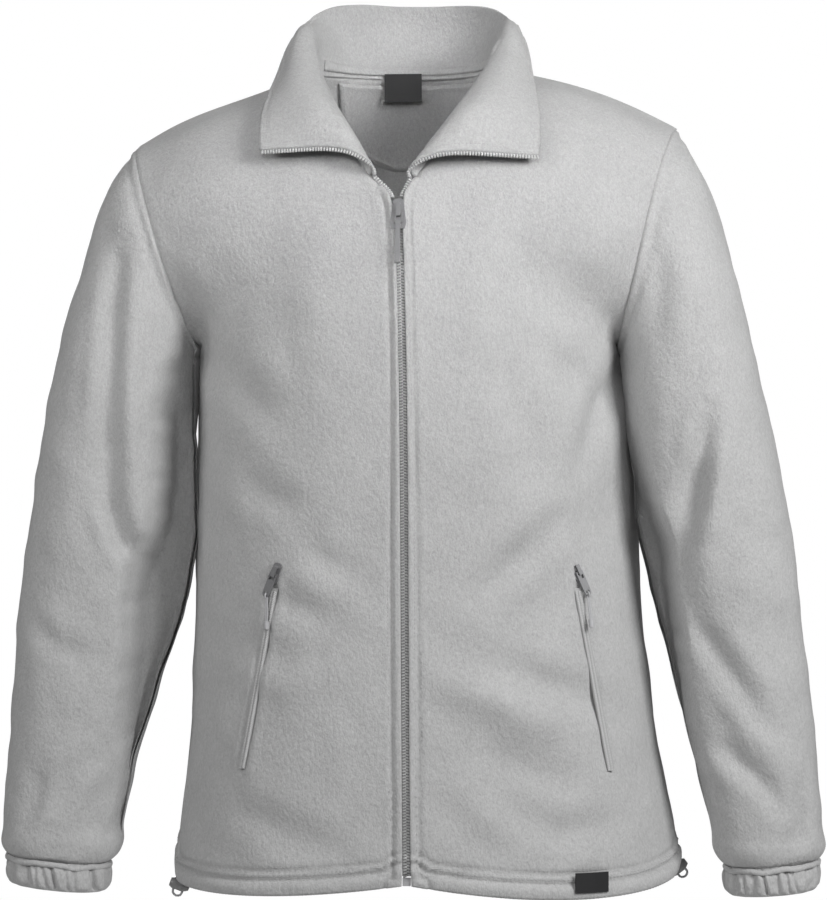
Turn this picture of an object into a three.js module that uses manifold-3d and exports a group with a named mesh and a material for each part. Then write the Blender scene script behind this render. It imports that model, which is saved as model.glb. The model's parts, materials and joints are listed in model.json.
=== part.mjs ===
// Fleece zip jacket, filled out as it is when worn, zipped to the chest with the collar folded out.
// Millimetres. +X is the wearer's left, -Y the front, +Z up. The origin lies midway between the
// neck points, at the height where the shoulders carry the jacket.
import * as THREE from 'three';
import { mergeVertices } from 'three/addons/utils/BufferGeometryUtils.js';
import Module from 'manifold-3d';

const wasm = await Module();
wasm.setup();

// Cloth walls and the gap between sewn pieces
const FLEECE = 2.6;
const COLLAR_FLEECE = 3;
const CUFF_FLEECE = 2;
const SEAM_GAP = 0.3;

// How finely each piece is divided
const SIDE_ROWS = 12;
const ARMHOLE_ROWS = 10;
const FRONT_COLUMNS = 10;
const ZIP_ROWS = 12;
const NECK_FRONT_COLUMNS = 8;
const NECK_BACK_COLUMNS = 12;
const SLEEVE_ROWS = 22;
const COLLAR_ROWS = 8;
const CUFF_COLUMNS = 56;

// Body: where the side seams run, and how deep the body is at the middle front and middle back
const SIDE_SEAMS = [
  { z: -700, right: -200, left: 226, depth: 4 },
  { z: -680, right: -204.5, left: 229, depth: 4 },
  { z: -667, right: -203, left: 231.5, depth: 4 },
  { z: -640, right: -199, left: 221, depth: 6 },
  { z: -610, right: -195.5, left: 215.5, depth: 8 },
  { z: -560, right: -191.5, left: 208, depth: 14 },
  { z: -510, right: -189, left: 201, depth: 20 },
  { z: -440, right: -190, left: 195.5, depth: 28 },
  { z: -380, right: -189.5, left: 194.5, depth: 32 },
  { z: -310, right: -186.5, left: 188, depth: 26 },
  { z: -238, right: -182.5, left: 176.5, depth: 0 },
];
const MIDDLE_DEPTHS = [
  { z: -700, front: -122, back: 126 },
  { z: -600, front: -124, back: 117 },
  { z: -500, front: -122, back: 112 },
  { z: -400, front: -123, back: 116 },
  { z: -300, front: -128, back: 127 },
  { z: -210, front: -131, back: 131 },
  { z: -150, front: -122, back: 127 },
  { z: -100, front: -107, back: 117 },
  { z: -50, front: -90, back: 102 },
  { z: 4, front: -60, back: 79 },
];
const FRONT_ROUNDNESS = 2.35;
const BACK_ROUNDNESS = 2.6;
const HEM = {
  front: -682, back: -696,
  right: { side: -691, droop: 7.5 },
  left: { side: -680, droop: 13 },
  backDroop: 6, droopRows: 4, casing: 21,
};
const BACK_LEAN = { atNeck: -4.5, atHem: 9 };
const SHOULDERS = { right: { crown: 6.2, skew: 1.9 }, left: { crown: 7.5, skew: 1.1 } };

// Zip: the line leans a little, and each front stops short of it by half the chain
const ZIP_LINE = [
  { z: -682, x: 4.6 },
  { z: -480, x: 3 },
  { z: -272, x: 2 },
  { z: -175, x: -0.2 },
  { z: -118, x: -3.4 },
];
const ZIP = { sliderZ: -118, chainWidth: 6.6, chainThick: 2.4, recess: 0.4, foot: 7, head: 1.5 };
const FRONT_EDGE = ZIP.chainWidth / 2 + 2 * SEAM_GAP;

// Armholes: the shoulder tip, the underarm, and how far the loop bows to the front and back
const ARMHOLES = {
  right: { tip: [-240, 8, -64], under: [-182.5, 0, -238], front: 78, back: 84, hollow: 3 },
  left: { tip: [228, 8, -50], under: [176.5, 0, -238], front: 78, back: 84, hollow: 9 },
};

// Sleeves: a row for each section, from the armhole to the join with the cuff
const SLEEVES = {
  right: [
    { outer: [-240, -64], inner: [-182.5, -238], front: -74, back: 88 },
    { outer: [-262, -97], inner: [-185, -250], front: -77, back: 84 },
    { outer: [-278, -146], inner: [-186, -265], front: -80, back: 78 },
    { outer: [-295, -205], inner: [-186, -286], front: -83, back: 66 },
    { outer: [-308, -268], inner: [-185.5, -314], front: -84, back: 54 },
    { outer: [-320, -338], inner: [-186, -355], front: -82, back: 44 },
    { outer: [-330, -408], inner: [-189, -412], front: -78, back: 40 },
    { outer: [-337, -470], inner: [-201, -470], front: -72, back: 38 },
    { outer: [-343, -530], inner: [-217, -530], front: -68, back: 36 },
    { outer: [-347, -590], inner: [-236, -590], front: -65, back: 33 },
    { outer: [-350, -638], inner: [-247, -640], front: -64, back: 30 },
    { outer: [-351, -664], inner: [-251, -670], front: -62, back: 28 },
    { outer: [-346, -672], inner: [-261, -680], front: -56, back: 21 },
  ],
  left: [
    { outer: [228, -50], inner: [176.5, -238], front: -74, back: 88 },
    { outer: [249, -90], inner: [180, -250], front: -77, back: 84 },
    { outer: [268, -140], inner: [182, -265], front: -80, back: 78 },
    { outer: [284, -203], inner: [183.5, -286], front: -83, back: 66 },
    { outer: [298, -268], inner: [187, -314], front: -84, back: 54 },
    { outer: [312, -335], inner: [193, -345], front: -82, back: 44 },
    { outer: [324, -400], inner: [197, -400], front: -78, back: 40 },
    { outer: [332, -465], inner: [211, -465], front: -72, back: 38 },
    { outer: [340, -530], inner: [227, -530], front: -68, back: 36 },
    { outer: [346, -590], inner: [241, -590], front: -65, back: 33 },
    { outer: [349, -638], inner: [255, -640], front: -64, back: 30 },
    { outer: [350, -662], inner: [260, -668], front: -62, back: 28 },
    { outer: [345, -671], inner: [269, -677], front: -56, back: 21 },
  ],
};
const SLEEVE_ROUNDNESS = 2.2;

// Cuffs: elastic casings below the sleeves, a row for each level
const CUFF_HEIGHT = 23;
const CUFF_GATHERS = { count: 14, wave: 1.7, mean: 0.8, swing: 0.2, swings: 3 };
const CUFF_LEVELS = [
  { down: 0, out: 0, wave: 0 },
  { down: 0.15, out: 1.5, wave: 0.6 },
  { down: 0.55, out: 2, wave: 1 },
  { down: 0.9, out: 1, wave: 0.9 },
  { down: 1, out: -1.5, wave: 0.5 },
];

// Collar: stations from the wearer's right front, round the back, to the left front.
// At each one the cloth rises from the neck seam, rolls, falls outwards and ends at its edge.
const COLLAR = [
  { seam: [-28, -103, -99], roll: [-27, -110, -91], fall: [-54, -111, -76], edge: [-119, -97, -78] },
  { seam: [-56, -83, -62], roll: [-50, -89, -53], fall: [-70, -98, -43], edge: [-120, -80, -52] },
  { seam: [-75, -54, -32], roll: [-68, -56, -21], fall: [-90, -62, -14], edge: [-117, -55, -30] },
  { seam: [-85, -22, -10], roll: [-80, -20, 8], fall: [-96, -22, 14], edge: [-111, -22, -4] },
  { seam: [-89, 8, 0], roll: [-85, 10, 32], fall: [-94, 13, 43], edge: [-104, 12, 28] },
  { seam: [-56, 64, 4], roll: [-63, 72, 26], fall: [-70, 72, 48], edge: [-77, 62, 67] },
  { seam: [-4.5, 79, 4], roll: [-4.5, 87, 25], fall: [-4.5, 90, 47], edge: [-4.5, 87, 69] },
  { seam: [47, 64, 4], roll: [54, 72, 26], fall: [61, 72, 48], edge: [68, 62, 64] },
  { seam: [80, 8, 2], roll: [77, 10, 32], fall: [86, 13, 43], edge: [95, 12, 28] },
  { seam: [77, -22, -8], roll: [69, -20, 8], fall: [87, -22, 14], edge: [102, -22, -4] },
  { seam: [64, -54, -30], roll: [57, -56, -20], fall: [80, -62, -15], edge: [108, -55, -31] },
  { seam: [41, -83, -62], roll: [36, -89, -53], fall: [60, -98, -46], edge: [111, -80, -56] },
  { seam: [10, -103, -101], roll: [9, -110, -93], fall: [38, -112, -80], edge: [111, -97, -84] },
];
const NECK_POINT = { right: 4, left: 8 };

// Folds: soft troughs in the cloth, each with its line of points as [x, z] seen from the front.
// A fold on the front acts on cloth that faces forwards, and one on the back on the rest.
const FOLDS = [
  { face: 'front', depth: 7, width: 11, line: [[-252, -140], [-253, -230], [-256, -320], [-252, -365]] },
  { face: 'front', depth: 12, width: 14, line: [[-252, -350], [-244, -385], [-231, -412], [-220, -436]] },
  { face: 'front', depth: 6, width: 12, line: [[-198, -300], [-207, -345], [-205, -380]] },
  { face: 'front', depth: 6, width: 16, line: [[-300, -660], [-268, -632], [-244, -606]] },
  { face: 'front', depth: 11, width: 13, line: [[236, -340], [232, -372], [226, -400], [222, -440]] },
  { face: 'front', depth: 8, width: 12, line: [[242, -460], [256, -495], [274, -530]] },
  { face: 'front', depth: 6, width: 12, line: [[258, -535], [276, -580], [292, -600]] },
  { face: 'front', depth: 5, width: 9, line: [[325, -628], [325, -664]] },
  { face: 'front', depth: 7, width: 16, line: [[176, -345], [168, -375], [152, -400]] },
  { face: 'front', depth: 5, width: 20, line: [[150, -410], [120, -440], [86, -458]] },
  { face: 'front', depth: 5, width: 18, line: [[45, -590], [95, -606], [150, -640]] },
  { face: 'front', depth: 4, width: 18, line: [[-150, -640], [-100, -655], [-55, -650]] },
  { face: 'front', depth: 5, width: 12, line: [[-206, -190], [-190, -206], [-172, -232]] },
  { face: 'back', depth: 8, width: 16, line: [[-262, -250], [-258, -330], [-238, -395]] },
  { face: 'back', depth: 8, width: 15, line: [[252, -240], [250, -320], [232, -385]] },
  { face: 'back', depth: 7, width: 18, line: [[-175, -330], [-120, -365], [-50, -385]] },
  { face: 'back', depth: 6, width: 18, line: [[172, -350], [118, -390], [58, -402]] },
  { face: 'back', depth: 6, width: 20, line: [[-150, -560], [-80, -600], [10, -610]] },
  { face: 'back', depth: 5, width: 18, line: [[-300, -600], [-270, -625], [-250, -640]] },
  { face: 'back', depth: 5, width: 16, line: [[258, -590], [285, -620], [320, -640]] },
];

// Small arithmetic on points
const point = (p) => new THREE.Vector3(p[0], p[1], p[2]);
const mix = (a, b, t) => a + (b - a) * t;
const between = (a, b, t) => a.clone().lerp(b, t);

// Value of a named column of a table at height z, on a smooth curve through its rows
function atHeight(table, column, z) {
  const last = table.length - 1;
  const rising = (k) => {
    const low = table[Math.max(k - 1, 0)];
    const high = table[Math.min(k + 1, last)];
    return (high[column] - low[column]) / (high.z - low.z);
  };
  let k = 0;
  while (k < last - 1 && z > table[k + 1].z) k += 1;
  const span = table[k + 1].z - table[k].z;
  const t = THREE.MathUtils.clamp((z - table[k].z) / span, 0, 1);
  const t2 = t * t;
  const t3 = t2 * t;
  return (2 * t3 - 3 * t2 + 1) * table[k][column] + (t3 - 2 * t2 + t) * span * rising(k)
    + (3 * t2 - 2 * t3) * table[k + 1][column] + (t3 - t2) * span * rising(k + 1);
}

// Point at place t (0 is the first) on a smooth curve through a list of points
function throughPoints(list, t) {
  const k = Math.min(Math.floor(t), list.length - 2);
  const f = t - k;
  const a = list[k];
  const b = list[k + 1];
  const before = k > 0 ? list[k - 1] : a.clone().multiplyScalar(2).sub(b);
  const after = k + 2 < list.length ? list[k + 2] : b.clone().multiplyScalar(2).sub(a);
  const bend = (p, q, r, s) => 0.5 * (2 * q + (r - p) * f + (2 * p - 5 * q + 4 * r - s) * f * f
    + (3 * q - p - 3 * r + s) * f * f * f);
  return new THREE.Vector3(
    bend(before.x, a.x, b.x, after.x),
    bend(before.y, a.y, b.y, after.y),
    bend(before.z, a.z, b.z, after.z),
  );
}

// Points at equal steps of length along a quarter of a rounded section, from its middle (facing
// front or back) to its side. Height runs evenly from one end to the other.
function quarterSection(middle, side, columns, roundness) {
  const samples = 240;
  const track = [];
  for (let k = 0; k <= samples; k += 1) {
    const angle = (Math.PI / 2) * (k / samples);
    const across = Math.sin(angle) ** (2 / roundness);
    const deep = Math.cos(angle) ** (2 / roundness);
    const x = mix(middle.x, side.x, across);
    const y = mix(side.y, middle.y, Math.max(deep, 0));
    const walked = k === 0 ? 0 : track[k - 1].walked + Math.hypot(x - track[k - 1].x, y - track[k - 1].y);
    track.push({ x, y, walked });
  }
  const total = track[samples].walked;
  const row = [];
  let k = 0;
  for (let i = 0; i <= columns; i += 1) {
    const target = (total * i) / columns;
    while (k < samples - 1 && track[k + 1].walked < target) k += 1;
    const step = track[k + 1].walked - track[k].walked;
    const f = step > 0 ? (target - track[k].walked) / step : 0;
    const x = mix(track[k].x, track[k + 1].x, f);
    const y = mix(track[k].y, track[k + 1].y, f);
    row.push(new THREE.Vector3(x, y, mix(middle.z, side.z, i / columns)));
  }
  return row;
}

// Patch of cloth between four edges: rows run from the bottom edge to the top edge
function patchBetween(bottom, top, first, last) {
  const columns = bottom.length - 1;
  const rows = first.length - 1;
  const grid = [];
  for (let j = 0; j <= rows; j += 1) {
    const t = j / rows;
    const row = [];
    for (let i = 0; i <= columns; i += 1) {
      const s = i / columns;
      const upDown = between(bottom[i], top[i], t);
      const sideways = between(first[j], last[j], s);
      const low = between(bottom[0], bottom[columns], s);
      const high = between(top[0], top[columns], s);
      row.push(upDown.add(sideways).sub(between(low, high, t)));
    }
    grid.push(row);
  }
  return grid;
}

// Evens out the inside of a grid of points and leaves its edges where they are
const SMOOTHING = { front: 3, back: 4 };
function relax(grid, closed, passes) {
  const columns = grid[0].length;
  for (let pass = 0; pass < passes; pass += 1) {
    const old = grid.map((row) => row.map((p) => p.clone()));
    for (let j = 1; j < grid.length - 1; j += 1) {
      for (let i = closed ? 0 : 1; i < (closed ? columns : columns - 1); i += 1) {
        const sum = new THREE.Vector3();
        sum.add(old[j - 1][i]).add(old[j + 1][i]);
        sum.add(old[j][(i + 1) % columns]).add(old[j][(i + columns - 1) % columns]);
        grid[j][i].lerp(sum.divideScalar(4), 0.5);
      }
    }
  }
  return grid;
}

// Armhole edge of one side, from the underarm (row 0) to the shoulder tip
function armholeEdge(side, face) {
  const hole = ARMHOLES[side];
  const under = point(hole.under);
  const tip = point(hole.tip);
  const edge = [];
  for (let j = 0; j <= ARMHOLE_ROWS; j += 1) {
    const angle = (Math.PI * j) / ARMHOLE_ROWS;
    const up = (1 - Math.cos(angle)) / 2;
    const bow = Math.sin(angle);
    const p = between(under, tip, up);
    p.y += bow * (face === 'front' ? -hole.front : hole.back);
    p.x -= Math.sign(tip.x) * hole.hollow * bow * up;
    edge.push(p);
  }
  return edge;
}

// Collar stations as points, and the columns of the collar between them
const stations = COLLAR.map((row) => [row.seam, row.roll, row.fall, row.edge].map(point));
function collarPlaces() {
  const places = [];
  const spans = COLLAR.length - 1;
  for (let k = 0; k < spans; k += 1) {
    const inBack = k >= NECK_POINT.right && k < NECK_POINT.left;
    const steps = inBack ? NECK_BACK_COLUMNS / 4 : NECK_FRONT_COLUMNS / 4;
    for (let i = 0; i < steps; i += 1) places.push(k + i / steps);
  }
  places.push(spans);
  return places;
}
const collarGrid = [];
for (let j = 0; j <= COLLAR_ROWS; j += 1) {
  const level = (j / COLLAR_ROWS) * 3;
  collarGrid.push(collarPlaces().map((place) => {
    const section = [0, 1, 2, 3].map((k) => throughPoints(stations.map((s) => s[k]), place));
    return throughPoints(section, level);
  }));
}
const neckline = collarGrid[0].map((p) => p.clone());
const neckPointColumn = { right: NECK_FRONT_COLUMNS, left: NECK_FRONT_COLUMNS + NECK_BACK_COLUMNS };

// Shoulder seam from the neck point to the tip, a little crowned
function shoulderSeam(side, columns) {
  const neck = neckline[neckPointColumn[side]];
  const tip = point(ARMHOLES[side].tip);
  const seam = [];
  for (let i = 0; i <= columns; i += 1) {
    const s = i / columns;
    const p = between(neck, tip, s);
    p.z += SHOULDERS[side].crown * Math.sin(Math.PI * s ** SHOULDERS[side].skew);
    seam.push(p);
  }
  return seam;
}

const zipX = (z) => atHeight(ZIP_LINE, 'x', z);
const frontDepth = (z) => atHeight(MIDDLE_DEPTHS, 'front', z);
const backDepth = (z) => atHeight(MIDDLE_DEPTHS, 'back', z);
const backMiddle = (z) => {
  const x = mix(BACK_LEAN.atNeck, BACK_LEAN.atHem, z / HEM.back);
  return new THREE.Vector3(x, backDepth(z), z);
};

// Height of a row between the hem and the underarm; the first row follows the hem's stitching
const rowHeight = (hem, under, row) => (row === 1 ? hem + HEM.casing : mix(hem, under, row / SIDE_ROWS));

// Point of a side seam at a row, from the hem to the underarm
function sideSeam(side, row) {
  const z = rowHeight(HEM[side].side, ARMHOLES[side].under[2], row);
  return new THREE.Vector3(atHeight(SIDE_SEAMS, side, z), atHeight(SIDE_SEAMS, 'depth', z), z);
}

// Edge of a front along the zip and then the neckline, a point for each row of the front
function frontEdge(side) {
  const away = side === 'left' ? 1 : -1;
  const edge = [];
  for (let j = 0; j <= ZIP_ROWS; j += 1) {
    const z = rowHeight(HEM.front, ZIP.sliderZ, j);
    edge.push(new THREE.Vector3(zipX(z) + away * FRONT_EDGE, frontDepth(z), z));
  }
  const last = neckline.length - 1;
  const crossing = side === 'left' ? neckline[last] : neckline[0];
  edge.push(between(edge[ZIP_ROWS], crossing, 0.5));
  for (let j = 0; j <= NECK_FRONT_COLUMNS; j += 1) {
    edge.push(neckline[side === 'left' ? last - j : j].clone());
  }
  return edge;
}

// Lowers the hem between the middle and the side, fading out upwards
function droopHem(rows, droop) {
  rows.forEach((row, j) => {
    const fade = Math.max(0, 1 - j / HEM.droopRows);
    row.forEach((p, i) => {
      p.z -= droop * fade * Math.sin((Math.PI * i) / (row.length - 1));
    });
  });
  return rows;
}

function frontPanel(side) {
  const edge = frontEdge(side);
  const lower = [];
  for (let j = 0; j <= SIDE_ROWS; j += 1) {
    lower.push(quarterSection(edge[j], sideSeam(side, j), FRONT_COLUMNS, FRONT_ROUNDNESS));
  }
  droopHem(lower, HEM[side].droop);
  const upper = patchBetween(
    lower[SIDE_ROWS],
    shoulderSeam(side, FRONT_COLUMNS),
    edge.slice(SIDE_ROWS),
    armholeEdge(side, 'front'),
  );
  return relax(lower.concat(upper.slice(1)), false, SMOOTHING.front);
}

function halfBack(side) {
  const columns = NECK_BACK_COLUMNS / 2 + FRONT_COLUMNS;
  const lower = [];
  for (let j = 0; j <= SIDE_ROWS; j += 1) {
    const z = rowHeight(HEM.back, ARMHOLES[side].under[2], j);
    lower.push(quarterSection(backMiddle(z), sideSeam(side, j), columns, BACK_ROUNDNESS));
  }
  droopHem(lower, HEM.backDroop);
  const middleColumn = neckPointColumn.right + NECK_BACK_COLUMNS / 2;
  const step = side === 'left' ? 1 : -1;
  const top = [];
  for (let i = 0; i < NECK_BACK_COLUMNS / 2; i += 1) top.push(neckline[middleColumn + step * i].clone());
  top.push(...shoulderSeam(side, FRONT_COLUMNS));
  const spine = [];
  for (let j = 0; j <= ARMHOLE_ROWS; j += 1) {
    spine.push(backMiddle(mix(ARMHOLES[side].under[2], top[0].z, j / ARMHOLE_ROWS)));
  }
  spine[ARMHOLE_ROWS].copy(top[0]);
  const upper = patchBetween(lower[SIDE_ROWS], top, spine, armholeEdge(side, 'back'));
  return lower.concat(upper.slice(1));
}

function backPanel() {
  const right = halfBack('right');
  const left = halfBack('left');
  const grid = right.map((row, j) => row.slice().reverse().concat(left[j].slice(1)));
  return relax(grid, false, SMOOTHING.back);
}

// Point of a sleeve section at an angle: 0 at the outer edge, a quarter turn at the front
function sectionPoint(section, angle, roundness) {
  const power = 2 / roundness;
  const c = Math.cos(angle);
  const s = Math.sin(angle);
  const across = Math.sign(c) * Math.abs(c) ** power;
  const deep = Math.sign(s) * Math.abs(s) ** power;
  return new THREE.Vector3(
    mix(section.inner[0], section.outer[0], (1 + across) / 2),
    mix(section.back, section.front, (1 + deep) / 2),
    mix(section.inner[1], section.outer[1], (1 + across) / 2),
  );
}

// Section of a sleeve at place t of its table, 0 at the armhole
function sleeveSection(side, t) {
  const table = SLEEVES[side];
  const outer = throughPoints(table.map((row) => new THREE.Vector3(row.outer[0], 0, row.outer[1])), t);
  const inner = throughPoints(table.map((row) => new THREE.Vector3(row.inner[0], 0, row.inner[1])), t);
  const depth = throughPoints(table.map((row) => new THREE.Vector3(row.front, row.back, 0)), t);
  return { outer: [outer.x, outer.z], inner: [inner.x, inner.z], front: depth.x, back: depth.y };
}

function sleeve(side) {
  const front = armholeEdge(side, 'front');
  const back = armholeEdge(side, 'back');
  const around = 2 * ARMHOLE_ROWS;
  const first = [];
  for (let i = 0; i <= ARMHOLE_ROWS; i += 1) first.push(front[ARMHOLE_ROWS - i]);
  for (let i = 1; i < ARMHOLE_ROWS; i += 1) first.push(back[i]);
  const grid = [first];
  for (let j = 1; j <= SLEEVE_ROWS; j += 1) {
    const section = sleeveSection(side, (j / SLEEVE_ROWS) * (SLEEVES[side].length - 1));
    const row = [];
    for (let i = 0; i < around; i += 1) {
      row.push(sectionPoint(section, (2 * Math.PI * i) / around, SLEEVE_ROUNDNESS));
    }
    grid.push(row);
  }
  return grid;
}

function cuff(side) {
  const join = sleeveSection(side, SLEEVES[side].length - 1);
  const outward = side === 'left' ? 1 : -1;
  return CUFF_LEVELS.map((level) => {
    const drop = SEAM_GAP + level.down * CUFF_HEIGHT;
    const section = {
      outer: [join.outer[0] + outward * level.out, join.outer[1] - drop],
      inner: [join.inner[0] - outward * level.out, join.inner[1] - drop],
      front: join.front - level.out,
      back: join.back + level.out,
    };
    const centre = new THREE.Vector3(
      (section.outer[0] + section.inner[0]) / 2,
      (section.front + section.back) / 2,
      0,
    );
    const row = [];
    for (let i = 0; i < CUFF_COLUMNS; i += 1) {
      const angle = (2 * Math.PI * i) / CUFF_COLUMNS;
      const p = sectionPoint(section, angle, SLEEVE_ROUNDNESS);
      const { count, mean, swing, swings } = CUFF_GATHERS;
      const uneven = mean + swing * Math.sin(swings * angle + outward);
      const wave = CUFF_GATHERS.wave * level.wave * uneven * Math.cos(count * angle);
      const away = new THREE.Vector3(p.x - centre.x, p.y - centre.y, 0).normalize();
      row.push(p.addScaledVector(away, wave));
    }
    return row;
  });
}

// Sheets that are sewn together share the points of their seams, so a direction is kept for each
// place, as the mean over all the sheets that meet there
const placeName = (p) => [p.x, p.y, p.z].map((v) => Math.round(v * 100)).join(' ');
function outwardDirections(sheets) {
  const sums = new Map();
  const add = (p, normal) => {
    const name = placeName(p);
    if (!sums.has(name)) sums.set(name, new THREE.Vector3());
    sums.get(name).add(normal);
  };
  for (const sheet of sheets) {
    const { grid, closed, flip } = sheet;
    const columns = grid[0].length;
    for (let j = 0; j < grid.length - 1; j += 1) {
      for (let i = 0; i < (closed ? columns : columns - 1); i += 1) {
        const next = (i + 1) % columns;
        const corners = [grid[j][i], grid[j][next], grid[j + 1][next], grid[j + 1][i]];
        const normal = corners[2].clone().sub(corners[0]).cross(corners[3].clone().sub(corners[1]));
        normal.multiplyScalar(flip ? -1 : 1);
        corners.forEach((p) => add(p, normal));
      }
    }
  }
  return (p) => sums.get(placeName(p)).clone().normalize();
}

// Depth of all folds at a point of the cloth that faces outwards along a normal
function foldDepth(p, normal) {
  let depth = 0;
  for (const fold of FOLDS) {
    const facing = THREE.MathUtils.smoothstep(fold.face === 'front' ? -normal.y : normal.y, 0, 0.4);
    let nearest = Infinity;
    for (let k = 0; k < fold.line.length - 1; k += 1) {
      const [ax, az] = fold.line[k];
      const [bx, bz] = fold.line[k + 1];
      const length2 = (bx - ax) ** 2 + (bz - az) ** 2;
      const along = ((p.x - ax) * (bx - ax) + (p.z - az) * (bz - az)) / length2;
      const t = THREE.MathUtils.clamp(along, 0, 1);
      nearest = Math.min(nearest, Math.hypot(p.x - mix(ax, bx, t), p.z - mix(az, bz, t)));
    }
    depth += fold.depth * facing * Math.exp(-((nearest / fold.width) ** 2));
  }
  return depth;
}

// The garment's sheets before they get their thickness
const bodySheets = {
  front_right: { grid: frontPanel('right'), flip: true },
  front_left: { grid: frontPanel('left') },
  back: { grid: backPanel(), flip: true },
  sleeve_right: { grid: sleeve('right'), closed: true, flip: true },
  sleeve_left: { grid: sleeve('left'), closed: true },
  collar: { grid: collarGrid, flip: true },
};
const plainDirection = outwardDirections(Object.values(bodySheets));
for (const name of ['front_right', 'front_left', 'back', 'sleeve_right', 'sleeve_left']) {
  const sheet = bodySheets[name];
  sheet.grid = sheet.grid.map((row) => row.map((p) => {
    const normal = plainDirection(p);
    return p.clone().addScaledVector(normal, -foldDepth(p, normal));
  }));
}
const foldedDirection = outwardDirections(Object.values(bodySheets));

// Moves the edge points of a sheet in from its seams
function trimSeams(layer, closed) {
  const rows = layer.length - 1;
  const columns = layer[0].length - 1;
  const shift = (p, q) => q.clone().sub(p).setLength(SEAM_GAP / 2);
  return layer.map((row, j) => row.map((p, i) => {
    const moved = p.clone();
    if (j === 0) moved.add(shift(p, layer[1][i]));
    if (j === rows) moved.add(shift(p, layer[rows - 1][i]));
    if (!closed && i === 0) moved.add(shift(p, row[1]));
    if (!closed && i === columns) moved.add(shift(p, row[columns - 1]));
    return moved;
  }));
}

// Closed wall between an outer and an inner layer of points
function wallGeometry(outer, inner, closed) {
  const rows = outer.length;
  const columns = outer[0].length;
  const vertices = [];
  for (const layer of [outer, inner]) layer.flat().forEach((p) => vertices.push(p.x, p.y, p.z));
  const index = (layer, j, i) => layer * rows * columns + j * columns + (i % columns);
  const faces = [];
  const quad = (a, b, c, d) => faces.push(a, b, c, a, c, d);
  const lastColumn = closed ? columns : columns - 1;
  for (let j = 0; j < rows - 1; j += 1) {
    for (let i = 0; i < lastColumn; i += 1) {
      quad(index(0, j, i), index(0, j, i + 1), index(0, j + 1, i + 1), index(0, j + 1, i));
      quad(index(1, j, i), index(1, j + 1, i), index(1, j + 1, i + 1), index(1, j, i + 1));
    }
  }
  // A rim face is split the same way on both sides of a seam, so that the two rims stay parallel
  const rim = (j, i, nextJ, nextI) => {
    const [a, b] = [index(0, j, i), index(0, nextJ, nextI)];
    const [c, d] = [index(1, nextJ, nextI), index(1, j, i)];
    const p = outer[j][i % columns];
    const q = outer[nextJ][nextI % columns];
    const rises = Math.abs(q.z - p.z) > 0.01 ? q.z > p.z : q.x > p.x;
    if (rises) faces.push(a, b, c, a, c, d);
    else faces.push(a, b, d, b, c, d);
  };
  for (let i = 0; i < lastColumn; i += 1) {
    rim(0, i + 1, 0, i);
    rim(rows - 1, i, rows - 1, i + 1);
  }
  if (!closed) {
    for (let j = 0; j < rows - 1; j += 1) {
      rim(j, 0, j + 1, 0);
      rim(j + 1, columns - 1, j, columns - 1);
    }
  }
  const geometry = new THREE.BufferGeometry();
  geometry.setAttribute('position', new THREE.Float32BufferAttribute(vertices, 3));
  geometry.setIndex(signedVolume(vertices, faces) < 0 ? turnedRound(faces) : faces);
  return geometry;
}

function signedVolume(vertices, faces) {
  const corner = (k) => new THREE.Vector3().fromArray(vertices, faces[k] * 3);
  let volume = 0;
  for (let k = 0; k < faces.length; k += 3) volume += corner(k).dot(corner(k + 1).cross(corner(k + 2)));
  return volume;
}

function turnedRound(faces) {
  const turned = [];
  for (let k = 0; k < faces.length; k += 3) turned.push(faces[k], faces[k + 2], faces[k + 1]);
  return turned;
}

// Outer and inner layer of a sewn sheet
function layersOf(sheet, thickness) {
  const sunk = (p) => p.clone().addScaledVector(foldedDirection(p), -thickness);
  const inner = sheet.grid.map((row) => row.map(sunk));
  return { outer: trimSeams(sheet.grid, sheet.closed), inner: trimSeams(inner, sheet.closed) };
}

// Materials, one for each finish
const finish = {
  fleece: () => new THREE.MeshStandardMaterial({ color: 0xbfc0c1, roughness: 0.95, metalness: 0 }),
  tape: () => new THREE.MeshStandardMaterial({ color: 0xa9abac, roughness: 0.85, metalness: 0 }),
  plastic: () => new THREE.MeshStandardMaterial({ color: 0xb4b5b7, roughness: 0.45, metalness: 0 }),
  metal: () => new THREE.MeshStandardMaterial({ color: 0xb9babc, roughness: 0.4, metalness: 0.6 }),
  label: () => new THREE.MeshStandardMaterial({ color: 0x151517, roughness: 0.8, metalness: 0 }),
  toggle: () => new THREE.MeshStandardMaterial({ color: 0x5a5b5e, roughness: 0.4, metalness: 0 }),
};

const jacket = new THREE.Group();
function addPiece(name, geometry, material) {
  const mesh = new THREE.Mesh(geometry, material);
  mesh.name = name;
  jacket.add(mesh);
}

// Sewn pieces
const thicknessOf = (name) => (name === 'collar' ? COLLAR_FLEECE : FLEECE);
const layers = {};
for (const [name, sheet] of Object.entries(bodySheets)) {
  layers[name] = layersOf(sheet, thicknessOf(name));
  addPiece(name, wallGeometry(layers[name].outer, layers[name].inner, sheet.closed), finish.fleece());
}
for (const side of ['right', 'left']) {
  const sheet = { grid: cuff(side), closed: true, flip: side === 'right' };
  const direction = outwardDirections([sheet]);
  const sunk = (p) => p.clone().addScaledVector(direction(p), -CUFF_FLEECE);
  const inner = sheet.grid.map((row) => row.map(sunk));
  addPiece(`cuff_${side}`, wallGeometry(sheet.grid, inner, true), finish.fleece());
}

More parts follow.
